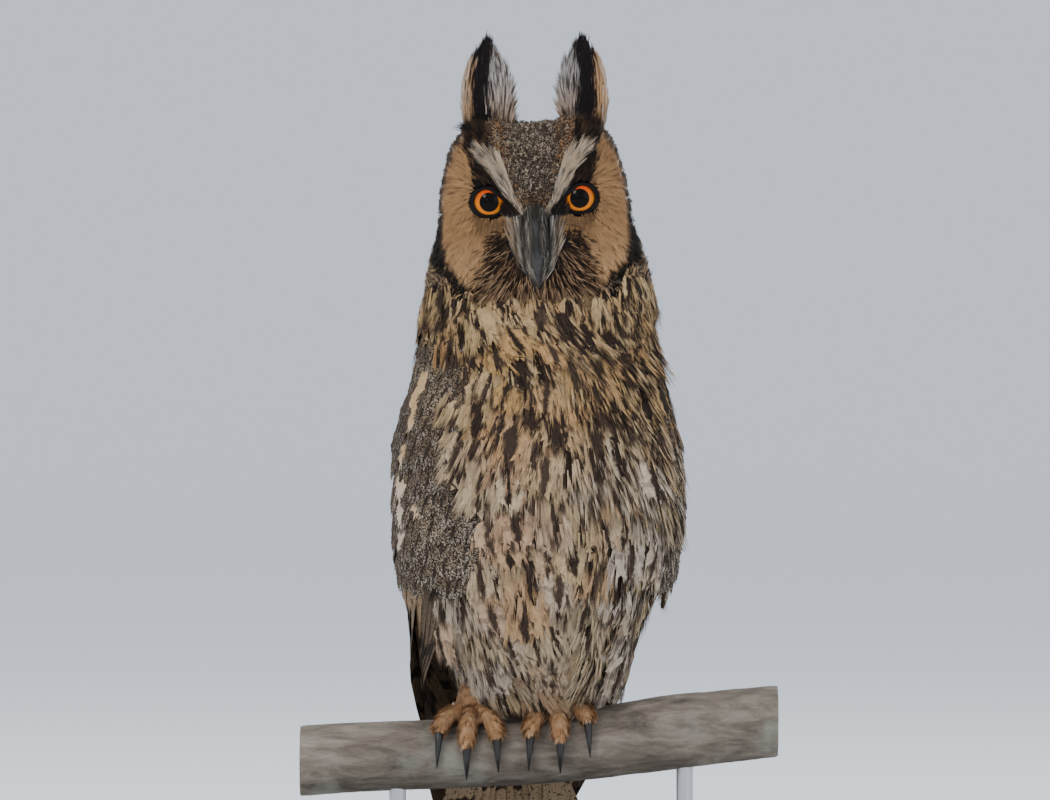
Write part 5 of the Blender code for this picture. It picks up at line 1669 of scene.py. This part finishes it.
# Head feathers
# Fine hair-like feathers radiate from each eye over a tan facial disc. White brows part the
# black patches over the eyes from a peppered forehead. Grey bristles cover the bill's flanks
# and black ones the gape, and a dark ruff of small stiff feathers edges the whole face.
DISC_TAN = (0.37, 0.205, 0.094)
DISC_BUFF = (0.50, 0.305, 0.152)
DISC_BROWN = (0.16, 0.085, 0.045)
BROW_WHITE = (0.50, 0.42, 0.325)
FACE_BLACK = (0.010, 0.0075, 0.0065)
PEPPER_DARK = (0.026, 0.018, 0.013)
PEPPER_PALE = (0.33, 0.255, 0.185)
RUSTY = (0.26, 0.125, 0.052)
BRISTLE_GREY = (0.26, 0.235, 0.21)
BRISTLE_TAN = (0.48, 0.31, 0.175)
LORES_DARK = (0.036, 0.030, 0.026)
LORES_PALE = (0.50, 0.435, 0.36)
FOREHEAD_EDGE = (
    # height over the eyes, half width of the peppered wedge
    (-7.5, 0.0),
    (-5.0, 4.5),
    (-1.0, 8.0),
    (8.0, 10.4),
    (16.6, 13.2),
    (22.0, 16.5),
    (25.0, 18.5),
    (38.0, 20.0),
)
BROW_MIDDLE = (
    # height over the eyes, distance of the brow's middle
    (-9.0, 3.0),
    (-5.0, 7.0),
    (-1.0, 10.2),
    (8.0, 13.7),
    (16.6, 17.6),
    (21.0, 21.0),
    (24.0, 24.0),
)
BROW_HALF = ((-9.0, 1.0), (-5.0, 1.6), (-1.0, 2.1), (8.0, 2.6), (16.6, 4.0), (21.0, 3.9), (24.0, 1.0))
BLACK_EDGE = ((5.0, 26.0), (12.0, 27.0), (18.0, 28.6), (25.0, 31.0), (32.0, 31.5))
# the black bristles beside the bill: height over the eyes, inner limit, then outer limit
GAPE_INNER = ((-42.0, 0.0), (-35.0, 5.0), (-28.0, 9.0), (-20.0, 12.6), (-16.0, 13.6), (-12.0, 14.0))
GAPE_OUTER = ((-42.0, 28.0), (-35.0, 27.5), (-28.0, 25.5), (-20.0, 22.5), (-16.0, 20.0), (-12.0, 15.5))
LORES_EDGE = ((-36.0, 5.0), (-28.0, 9.5), (-20.0, 13.0), (-12.0, 15.0), (-8.0, 13.0))
FACE_HEIGHTS = (-43, 38)
DISC_STEP = 0.92
EYE_CLEARANCE = 7.3
LASH_REACH = 8.0
BILL_TIP = (0.0, -40.0)
BILL_BRISTLES = 1200
HEAD_UNWRAP = (285.0, 108.0)
CROWN_STEPS = (22, 25.4, 28.4, 31, 33.3, 35.2, 36.6, 37.6, 38.3, 38.7, 38.9)
COLLAR_RADIUS = 46.0
COLLAR_SPACING = 6.6
PLAIN = (0, 0, 0)
REGION_TONES = {
    "rim": PEPPER_DARK,
    "disc": DISC_TAN,
    "lores": (0.11, 0.095, 0.085),
    "gape": FACE_BLACK,
    "black": FACE_BLACK,
    "wedge": (0.13, 0.10, 0.08),
    "brow": BROW_WHITE,
}


def face_regions(x, z, ragged):
    """The fields of the face by place seen from in front, each a mask, with ragged borders."""
    far = np.abs(x)
    brow_middle = between(z, BROW_MIDDLE)
    brow = (np.abs(far - brow_middle) < between(z, BROW_HALF)) & (z > -9) & (z < 24)
    wedge = ~brow & (z > -7.5) & (far < between(z, FOREHEAD_EDGE) + ragged)
    over_eye = (z > 4) & (z < 36) & (far > np.minimum(brow_middle - 1, 18.0))
    over_eye &= far < between(z, BLACK_EDGE) + 1.5 * ragged
    by_brow = (z > -7) & (z <= 6) & (far > brow_middle) & (far < EYE_PLACE[0])
    lashes = (eye_distance(x, z) < LASH_REACH) & ((z > 1) | (far < EYE_PLACE[0]))
    black = ~brow & ~wedge & (over_eye | by_brow | lashes)
    gape = ~black & (z < -12) & (far < between(z, GAPE_OUTER) + 2.5 * ragged)
    gape &= far > between(z, GAPE_INNER) + ragged
    lores = ~gape & ~brow & ~black & (z < -7) & (far < between(z, LORES_EDGE) + 2.0 * ragged)
    rest = ~(brow | wedge | black | gape | lores)
    disc = rest & (disc_distance(x, z) < 0.5 + ragged)
    rim = rest & ~disc
    return dict(brow=brow, wedge=wedge, black=black, gape=gape, lores=lores, disc=disc, rim=rim)


def head_angles(x, z):
    """Angles round the head where its front is seen at some places, by bisection."""
    low = np.full(len(x), -math.pi / 2)
    high = -low
    for _ in range(26):
        middle = (low + high) / 2
        under = head_local(z, middle)[:, 0] < x
        low = np.where(under, middle, low)
        high = np.where(under, high, middle)
    return (low + high) / 2


def face_grid(draw, step, jitter=0.42):
    """Places seen from in front, on a jittered grid over the whole face."""
    lines = (np.arange(-56, 56, step), np.arange(*FACE_HEIGHTS, step))
    x, z = (v.ravel() for v in np.meshgrid(*lines, indexing="ij"))
    x = x + jitter * step * draw.standard_normal(x.size)
    z = np.clip(z + jitter * step * draw.standard_normal(z.size), *FACE_HEIGHTS)
    kept = (np.abs(x) < head_rows(z)[0] * 0.985) & (eye_distance(x, z, 1.2) > EYE_CLEARANCE)
    return x[kept], z[kept]


def vectors(x, y, z):
    """Vectors from three arrays or numbers."""
    return np.stack(np.broadcast_arrays(x, y, z), axis=-1)


def head_turn(directions):
    """Directions of the head's frame, in the world."""
    return head_world(directions) - head_world((0.0, 0.0, 0.0))


def head_map_y(z):
    return 0.02 + 0.94 * (z + 62) / 102


def head_roots(z, angle, direction, lift, stand, length, slimness, ground, mark, pattern=PLAIN):
    """Roots for feathers of the head; direction is in the head's frame."""
    place, outward, _, _ = surface_frame(head_place, z, angle, lift)
    lie = laid(outward, head_turn(direction), stand)
    length = length * head_draw.uniform(0.82, 1.18, len(z))
    root_map = np.column_stack([0.5 + angle / (2 * math.pi) * 0.98, head_map_y(z)])
    ground = np.asarray(ground) * head_draw.uniform(0.82, 1.18, (len(z), 1))
    return feather_roots(place, *lie, length, slimness, 0.8, root_map, ground, mark, pattern)


def stacked(*groups):
    return {key: np.concatenate([group[key] for group in groups]) for key in groups[0]}


hair_down = plumage_material("hair_plumage", 12.0, 2.0, 900.0)
pepper_down = plumage_material("pepper_plumage", 20.0, 2.0, 1150.0)
head_draw = np.random.default_rng(83)
grid_x, grid_z = face_grid(head_draw, DISC_STEP)
grid_angle = head_angles(grid_x, grid_z)
regions = face_regions(grid_x, grid_z, head_draw.normal(0, 0.7, len(grid_x)))


def in_region(name):
    """Places of a field of the face seen from in front, and their heights with their angles."""
    mask = regions[name]
    return grid_x[mask], grid_z[mask], (grid_z[mask], grid_angle[mask])


x, z, spot = in_region("disc")
from_eye = np.abs(x) - EYE_PLACE[0]
eye_gap = eye_distance(x, z)
spread = vectors(np.sign(x) * from_eye, 0, z - 0.25 * np.abs(from_eye) - 3.0)
near_eye = smooth(18.0, 9.0, eye_gap)
lift = 0.3 - FACE_COAT_DEPTH + near_eye + 0.9 * smooth(10.5, 8.0, eye_gap)
length = 5.6 - 1.8 * near_eye + 2.0 * smooth(-34, -42, z)
tone = 0.35 * head_draw.random(len(x))
ground = blend_colours(DISC_TAN, DISC_BUFF, 0.8 * smooth(-8, -30, z) + tone - 0.12)
ground = ground * (1 - 0.5 * near_eye * (from_eye < 7))[:, None]
high_edge = smooth(-9.0, -1.0, disc_distance(x, z)) * (z > 5)
dark_hair = head_draw.random(len(x)) < 0.07 + 0.35 * high_edge
ground = np.where(dark_hair[:, None], DISC_BROWN, ground)
set_feathers(
    "disc_feathers",
    head_roots(*spot, spread, lift, 0.20, length, 0.42, ground, DISC_BROWN),
    several(hair_tuft, 5, "hair", 90, 8, 0.15, 0.10, 0.062),
    hair_down,
    ["head"],
    "face_feathers",
    ruffle=0.10,
    seed=3,
)

x, z, spot = in_region("brow")
off_line = np.abs(x) - between(z, BROW_MIDDLE)
sweep = vectors(np.sign(x) * (0.45 + 0.02 * z + 0.13 * off_line), -0.1, 1)
tone = blend_colours(BROW_WHITE, BRISTLE_TAN, 0.75 * head_draw.random(len(x)))
grey_hair = (head_draw.random(len(x)) < 0.30)[:, None]
tone = np.where(grey_hair, np.array(BRISTLE_GREY) * 0.35, tone)
length = 4.5 + 4.5 * smooth(-8, 14, z)
brow_roots = head_roots(*spot, sweep, -1.0, 0.22, length, 0.26, tone, FACE_BLACK)

x, z, spot = in_region("black")
by_tuft = smooth(24, 33, z)
ringed = eye_distance(x, z) < LASH_REACH
round_eye = vectors(np.sign(x) * (np.abs(x) - EYE_PLACE[0]), 0, z)
sweep = np.where(ringed[:, None], round_eye, vectors(np.sign(x) * 0.55, 0, 1))
tone = blend_colours(FACE_BLACK, DISC_BROWN, 0.55 * head_draw.random(len(x)) ** 5 * ~ringed)
lift = np.where(ringed, -1.6, -0.7)
length = np.where(ringed, 1.3, 5.5 + 4.5 * by_tuft)
slim = np.where(ringed, 0.75, 0.45)
black_roots = head_roots(*spot, sweep, lift, 0.18 + 0.30 * by_tuft, length, slim, tone, FACE_BLACK)

x, z, spot = in_region("lores")
sweep = vectors(BILL_TIP[0] - x, 0, BILL_TIP[1] - z)
stripe = 0.5 + 0.5 * np.sin(np.abs(x) * 1.5 + 0.8 + head_draw.normal(0, 0.5, len(x)))
tone = blend_colours(LORES_DARK, LORES_PALE, stripe * head_draw.uniform(0.4, 1.2, len(x)))
tone = tone * np.where(head_draw.random(len(x)) < 0.28, 0.25, 1.0)[:, None]
tan_share = smooth(8.0, 13.0, np.abs(x)) * head_draw.uniform(0.2, 1.0, len(x))
tone = blend_colours(tone, BRISTLE_TAN, 0.5 * tan_share)
length = np.minimum(8.0, 0.7 * np.hypot(sweep[:, 0], sweep[:, 2]))
lores_roots = head_roots(*spot, sweep, -0.6, 0.20, length, 0.14, tone, FACE_BLACK)

x, z, spot = in_region("gape")
sweep = vectors(x - np.sign(x) * 5.0, -3.0, 0.60 * (z + 12.0) - 1.5)
sweep = sweep + head_draw.normal(0, 2.6, sweep.shape)
by_eye = bump(np.abs(x) - 18.5, 4.5) * bump(z + 17.5, 4.5)
pale_share = (0.18 + 0.27 * smooth(-32, -40, z)) * (1 - 1.3 * by_eye)
pale = head_draw.random(len(x)) < pale_share
pale_tone = blend_colours(BRISTLE_TAN, DISC_BROWN, head_draw.random(len(x)))
dark_tone = 0.7 * head_draw.random(len(x)) ** 3 * (1 - by_eye)
dark_tone = blend_colours(FACE_BLACK, DISC_BROWN, dark_tone)
tone = np.where(pale[:, None], pale_tone, dark_tone)
lift = -1.0 + 0.7 * pale
stand = np.where(pale, 0.26, 0.20)
length = 5.0 + 0.6 * pale + 2.2 * smooth(-34, -42, z)
slim = np.where(pale, 0.12, 0.30)
gape_roots = head_roots(*spot, sweep, lift, stand, length, slim, tone, FACE_BLACK)

step = head_draw.uniform(0.05, 3.9, BILL_BRISTLES)
side = np.where(head_draw.random(BILL_BRISTLES) < 0.5, 1.0, -1.0)
turn = head_draw.uniform(0, 1, BILL_BRISTLES) * 92 + 17 - 17 * smooth(2.2, 1.2, step)
turn = np.radians(turn)
bill_line = line_of(BILL_UPPER_ROWS)
middle_y, middle_z, half_width, half_depth = bill_line(step)
ahead_y, ahead_z, _, _ = bill_line(step + 0.05)
bill_along = unit(vectors(0, ahead_y - middle_y, ahead_z - middle_z))
bill_up = vectors(0, bill_along[:, 2], -bill_along[:, 1])
bill_across = vectors(side, 0, 0)
normal = bill_across * np.sin(turn)[:, None] + bill_up * np.cos(turn)[:, None]
place = vectors(0, middle_y, middle_z)
place = place + bill_across * ((half_width + 0.2) * np.sin(turn))[:, None]
place = place + bill_up * ((half_depth + 0.2) * np.cos(turn))[:, None]
bristle_lie = laid(head_turn(normal), head_turn(bill_along - 0.16 * bill_across), 0.10)
length = head_draw.uniform(5.5, 9.0, BILL_BRISTLES) * (1 - 0.55 * smooth(2.6, 3.9, step))
tone = head_draw.uniform(0.3, 1.1, BILL_BRISTLES) * bump(turn - 0.80, 0.32)
tone = tone * (1 - 0.5 * smooth(2.0, 3.6, step)) + 0.25 * smooth(1.6, 0.4, step)
tone = tone * (head_draw.random(BILL_BRISTLES) > 0.35)
tone = np.maximum(tone, 0.9 * smooth(0.9, 0.4, step) * bump(turn - 0.85, 0.25))
under_brow = smooth(1.0, 0.3, step) * smooth(0.62, 0.42, turn)
ground = blend_colours(LORES_DARK, LORES_PALE, tone) * (1 - under_brow)[:, None]
ground = ground + np.array(RUSTY) * (0.35 * under_brow)[:, None]
bill_map = np.column_stack([0.5 + 0.02 * side * turn, head_map_y(middle_z)])
looks = (bill_map, ground, FACE_BLACK, PLAIN)
bill_roots = feather_roots(head_world(place), *bristle_lie, length, 0.10, 0.4, *looks)
set_feathers(
    "brow_and_bristles",
    stacked(brow_roots, black_roots, lores_roots, gape_roots, bill_roots),
    several(hair_tuft, 5, "bristle", 110, 6, 0.18, 0.12, 0.095, 3),
    hair_down,
    ["head"],
    "face_feathers",
    ruffle=0.09,
    seed=4,
)

x, z, spot = in_region("wedge")
sweep = vectors(0.012 * x, 0, 1)
low_end = smooth(6, -6, z)
pepper = head_draw.random(len(x)) ** 1.2 * (1 - 0.45 * low_end)
pepper = blend_colours(PEPPER_DARK, PEPPER_PALE, pepper)
rusty_edge = 0.85 * smooth(9.0, 14.0, np.abs(x)) * smooth(6, 20, z)
rusty_edge = np.maximum(0.75 * low_end, rusty_edge) * head_draw.random(len(x))
pepper = blend_colours(pepper, RUSTY, rusty_edge)
by_tuft = smooth(23, 33, z) * smooth(8, 14, np.abs(x))
stand = 0.26 + 0.25 * by_tuft
length = 2.6 + 0.9 * smooth(0, 30, z) + 2.6 * by_tuft
looks = (0.46 - 0.14 * by_tuft, pepper, PEPPER_DARK, (0, 0, 1.0))
forehead_roots = head_roots(*spot, sweep, 0.8 - FACE_COAT_DEPTH, stand, length, *looks)

x, z, spot = in_region("rim")
sweep = vectors(np.sign(x), 0.4, 0.03 * z - 0.1)
tone = 0.55 * (head_draw.random(len(x)) > 0.66) * smooth(-10, 0, z)
tone = blend_colours(PEPPER_DARK, PEPPER_PALE, tone) * smooth(-50, -12, z)[:, None]
looks = (0.40, tone, FACE_BLACK, (0, 0, 0.6))
set_feathers(
    "forehead_feathers",
    stacked(forehead_roots, head_roots(*spot, sweep, 0.3 - FACE_COAT_DEPTH, 0.20, 5.0, *looks)),
    several(feather_shape, 4, "pepper", 140, 4, 3, 0.14, -0.05, 5, 0.16),
    pepper_down,
    ["head"],
    "face_feathers",
    ruffle=0.14,
    seed=6,
)

crown_heights = np.concatenate([np.arange(-41, 22, 4.0), CROWN_STEPS])
crown_counts = []
for level in crown_heights:
    girth = 2 * math.pi * mean_radius(*head_rows(level))
    crown_counts.append(max(5, int(girth / (3.4 if level < 22 else 2.6))))
z, angle = staggered(head_draw, crown_heights, crown_counts, 0.25, 0.7)
z = np.clip(z, -43, 38.9)
local = head_local(z, angle)
edge = disc_distance(local[:, 0], z)
under_tuft = (np.abs(local[:, 0]) < 31) & (local[:, 1] < -22) & (z > 20)
on_face = (np.cos(angle) > 0) & ((edge < 1.0) | under_tuft)
on_face &= np.abs(local[:, 0]) < head_rows(z)[0] * 0.97
z, angle, local, edge = (v[~on_face] for v in (z, angle, local, edge))
count = len(z)
forward = np.cos(angle)
arc = vectors(0, z + 45, -(local[:, 1] + 5)) + (0, 0, -14)
by_rim = smooth(10.0, 0.0, edge) * (forward > -0.15)
outwards = np.sign(local[:, 0]) * (1 - 0.7 * smooth(-6, -28, z))
outwards = vectors(outwards, 0.9, (z + 2) / 30 - 0.15)
direction = arc / 60 * (1 - by_rim)[:, None] + outwards * by_rim[:, None]
tone = head_draw.random(count)
ground = (0.75 * tone**2 + 0.10) * (1 - 0.5 * by_rim)
ground = blend_colours(PEPPER_DARK, PEPPER_PALE, ground)
nape = smooth(0.2, -0.5, forward) * smooth(34, 12, z + 5 * head_draw.standard_normal(count))
crescent_edge = 2.4 * smooth(-38, -24, z)
low_nape = smooth(2.2, 5.0, edge - crescent_edge + head_draw.standard_normal(count))
nape = np.maximum(nape, smooth(-4, -16, z) * low_nape)
ground = blend_colours(ground, blend_colours(BUFF, BACK_GREY, tone), nape)
crescent = (forward > -0.15) * smooth(0, -12, z) * (edge < 2.4 + crescent_edge)
ground = ground * (1 - 0.93 * crescent)[:, None]
length = 7.0 + 5.5 * smooth(0, -35, z) * smooth(8, 20, edge)
pattern = (0.30 * nape + 0.12 * (1 - nape), 0 * z, 0.8 * (1 - crescent))
stand = (0.5 - FACE_COAT_DEPTH, 0.12 + 0.03 * by_rim)
looks = (0.50, ground, DARK_BROWN, pattern)
crown_roots = head_roots(z, angle, direction, *stand, length, *looks)

collar_heights = np.arange(-37.0, -62.0, -4.0)
collar_counts = [round(2 * math.pi * COLLAR_RADIUS / COLLAR_SPACING)] * len(collar_heights)
z, angle = staggered(head_draw, collar_heights, collar_counts, 0.3, 0.3 * 4.0)
local_x = head_local(z, angle)[:, 0]
under_disc = (np.cos(angle) > 0) & (np.abs(local_x) < 42) & (z > -40.0)
z, angle, local_x = (v[~under_disc] for v in (z, angle, local_x))
tone = head_draw.random(len(z))
front = smooth(-0.5, 0.1, np.cos(angle))
ground = blend_colours(BACK_GREY, BUFF, tone)
ground = blend_colours(ground, blend_colours(BUFF, PALE_BUFF, tone), front)
streak = np.where(head_draw.random(len(z)) < 0.55, 0.55, 0.25)
lift = -2.4 + 1.2 * smooth(-50, -41, z)
looks = (0.58, ground, DARK_BROWN, (streak, 0.3 * tone, 0.3 + 0.5 * (1 - front)))
collar_roots = head_roots(z, angle, vectors(0.006 * local_x, 0, -1), lift, 0.10, 15.0, *looks)
for piece_name, roots, each, material in (
    ("crown", crown_roots, 6, pepper_down),
    ("collar", collar_roots, 20, body_down),
):
    shapes = several(feather_shape, 4, "crown", 130, 7, 5, 0.14, -0.05, 9, 0.14)
    fixed = {"nodes": ["head", "neck"], "slot": "face_feathers", "ruffle": 0.10}
    set_feathers(piece_name + "_feathers", roots, shapes, material, seed=5, **fixed)
    roots = barbs_over(head_draw, roots, each, HEAD_UNWRAP)
    shapes = several(hair_tuft, 4, "nape", 135, 6, 0.14, 0.06, 0.12)
    set_feathers(piece_name + "_barbs", roots, shapes, barb_down, seed=8, **fixed)


# Ear tufts
# Two tall tufts stand over the brows like curved leaves. Each is black down the middle, buff
# along its outer edge and frays into grey-white hair on its inner edge.
EAR_TUFTS = {
    # root x and z, tip x and z, reach of the outer edge and of the inner edge
    "left": (21.0, 386.0, 20.5, 437.5, 12.6, -9.6),
    "right": (-21.5, 384.0, -23.0, 436.5, -13.4, 10.0),
}
TUFT_ROOT_Y = -22.0
TUFT_LEAN_Y = 7.0
TUFT_CUP = 4.0
TUFT_BLACK = (0.016, 0.012, 0.013)
TUFT_GREY = (0.42, 0.38, 0.36)
TUFT_BUFF = (0.52, 0.30, 0.15)
TUFT_PALE = (0.70, 0.60, 0.50)
TUFT_SHADOW = (0.085, 0.062, 0.050)
TUFT_BAND_EDGES = {"left": (-0.28, 0.54), "right": (-0.08, 0.66)}
TUFT_VANES = 15
TUFT_VANE_HALF = 0.115
TUFT_HAIRS = 2300


def tuft_place(side, t, k, layer):
    """Points of an ear tuft: t runs up it, k from its inner edge at -1 to its outer edge at 1."""
    root_x, root_z, tip_x, tip_z, outer, inner = EAR_TUFTS[side]
    swell = np.sin(math.pi * (0.24 + 0.74 * np.clip(t, 0, 1))) ** 0.8
    x = root_x + (tip_x - root_x) * t + swell * (inner + (outer - inner) * (k + 1) / 2)
    y = TUFT_ROOT_Y + TUFT_LEAN_Y * t - TUFT_CUP * k * k * swell + layer
    return np.stack([x, y, root_z + (tip_z - root_z) * t + 0 * x], axis=-1)


def tuft_colour(draw, side, k, t):
    """Colours across a tuft, with ragged borders between its bands."""
    k = k + 0.14 * draw.standard_normal(len(k))
    spread = 0.45 * smooth(0.45, 0.9, t)
    low, high = TUFT_BAND_EDGES[side][0] - spread, TUFT_BAND_EDGES[side][1] + spread
    black = smooth(low - 0.12, low + 0.05, k) * smooth(high + 0.10, high - 0.03, k)
    black = np.maximum(black, smooth(0.70, 0.90, t) * (0.5 + 0.5 * draw.random(len(k))))
    black = np.maximum(black, smooth(0.16, 0.02, t) * draw.uniform(0.25, 1.4, len(k)).clip(0, 1))
    outer = blend_colours(TUFT_BUFF, TUFT_PALE, smooth(0.84, 1.0, k) * 0.8)
    inner = blend_colours(TUFT_GREY, TUFT_BUFF, smooth(0.50, 0.05, t) * 0.6)
    shadow = 0.30 + 0.25 * smooth(-0.7, 0.0, k) + 0.25 * smooth(0.4, 0.8, t)
    inner = np.where((draw.random(len(k)) < shadow)[:, None], TUFT_SHADOW, inner)
    return blend_colours(np.where((k > 0)[:, None], outer, inner), TUFT_BLACK, black)


for tuft_side, tuft_seed in (("left", 151), ("right", 152)):
    tuft_draw = np.random.default_rng(tuft_seed)
    tuft_sheet = new_sheet()
    for layer in (0.7, -0.5):
        for vane_k in np.linspace(-0.86, 0.90, TUFT_VANES):
            crest = 0.90 - 0.30 * abs(vane_k) ** 2.4 + 0.04 * tuft_draw.standard_normal()

            def tuft_surface(t, offset, shaft, k=vane_k, crest=crest, layer=layer, side=tuft_side):
                return tuft_place(side, t * crest, k + offset, layer + 0.4 * offset)

            colour = tuft_colour(tuft_draw, tuft_side, np.array([vane_k]), np.array([0.4]))[0]
            root_map = (0.05 + 0.9 * (vane_k + 1) / 2, 0.3 + 0.2 * layer)
            looks = (root_map, colour, TUFT_BLACK, (0, 0, 0.15), 14, 3)
            add_vane(tuft_sheet, tuft_draw, tuft_surface, TUFT_VANE_HALF, *looks)
    tuft_nodes = (["ear_tuft_" + tuft_side], "tuft_feathers")
    sheet_object("tuft_vanes_" + tuft_side, tuft_sheet, hair_down, *tuft_nodes)

    t = tuft_draw.uniform(-0.04, 0.86, TUFT_HAIRS)
    k = tuft_draw.uniform(-1, 1, TUFT_HAIRS)
    under_crest = t < 0.88 - 0.28 * np.abs(k) ** 2.4
    t, k = t[under_crest], k[under_crest]
    count = len(t)
    face = np.where(tuft_draw.random(count) < 0.62, -1.0, 1.0)
    place = tuft_place(tuft_side, t, k, 0.1 + 0.8 * face)
    middle = tuft_place(tuft_side, t, k, 0.0)
    ahead = unit(tuft_place(tuft_side, t + 0.02, k, 0.0) - middle)
    sideways = unit(tuft_place(tuft_side, t, k + 0.02, 0.0) - middle)
    normal = np.cross(ahead, sideways)
    normal *= np.where(normal[:, 1] * face > 0, 1.0, -1.0)[:, None]
    fringe = smooth(-0.55, -1.0, k) * smooth(0.85, 0.2, t)
    frayed = 0.16 * smooth(0.50, 0.84, t) * tuft_draw.standard_normal(count)
    direction = ahead + sideways * (frayed - 0.50 * fringe)[:, None]
    tuft_lie = laid(normal, direction, 0.04 + 0.10 * fringe)
    length = (10.0 - 3.2 * smooth(0.5, 0.84, t)) * tuft_draw.uniform(0.7, 1.15, count)
    map_x = 0.05 + 0.45 * (k + 1) / 2 + 0.45 * (face > 0)
    hair_map = np.column_stack([map_x, 0.05 + 0.9 * (t + 0.05)])
    ground = tuft_colour(tuft_draw, tuft_side, k, t) * tuft_draw.uniform(0.62, 1.2, (count, 1))
    sizes = (length, 0.15 + 0.10 * fringe, 0.5)
    looks = (hair_map, ground, TUFT_BLACK, PLAIN)
    set_feathers(
        "tuft_hair_" + tuft_side,
        feather_roots(place, *tuft_lie, *sizes, *looks),
        several(hair_tuft, 4, "ear", 160, 6, 0.12, 0.02, 0.12),
        hair_down,
        *tuft_nodes,
        ruffle=0.09,
        seed=7,
    )


# Skin markings
# The skin is tinted under the feathers with the same markings, darkened as painted shade,
# so that no gap between them shows as a bare place.
SKIN_PAINTED_SHADE = 0.62
skin_points = np.empty(len(skin.data.vertices) * 3, np.float32)
skin.data.vertices.foreach_get("co", skin_points)
skin_x, skin_y, skin_z = (skin_points.reshape(-1, 3) * 1000.0 - HEAD_PLACE).T
roll_sine, roll_cosine = math.sin(HEAD_ROLL), math.cos(HEAD_ROLL)
face_x = skin_x * roll_cosine + skin_z * roll_sine
face_z = skin_z * roll_cosine - skin_x * roll_sine
skin_z = skin_z + HEAD_PLACE[2]
colour = blend_colours(PALE_BUFF, BUFF, smooth(236, 272, skin_z))
colour = blend_colours(BACK_GREY, colour, smooth(10.0, -12.0, skin_y))
colour = np.where((skin_z < 140)[:, None], TOE_TAN, colour)
on_face = (face_z > FACE_HEIGHTS[0]) & (skin_y < -16)
for region, mask in face_regions(face_x, face_z, 0.0 * face_x).items():
    colour = np.where((mask & on_face)[:, None], REGION_TONES[region], colour)
crown_skin = (face_z > 20) & ~on_face
# The skin's colours are darkened all over here: painted shade, for where it lies under the feathers.
colour = np.where(crown_skin[:, None], PEPPER_DARK, colour) * SKIN_PAINTED_SHADE
colour = np.column_stack([colour, np.ones(len(colour))])
marking = skin.data.attributes.new("marking", "FLOAT_COLOR", "POINT")
marking.data.foreach_set("color", colour.ravel())
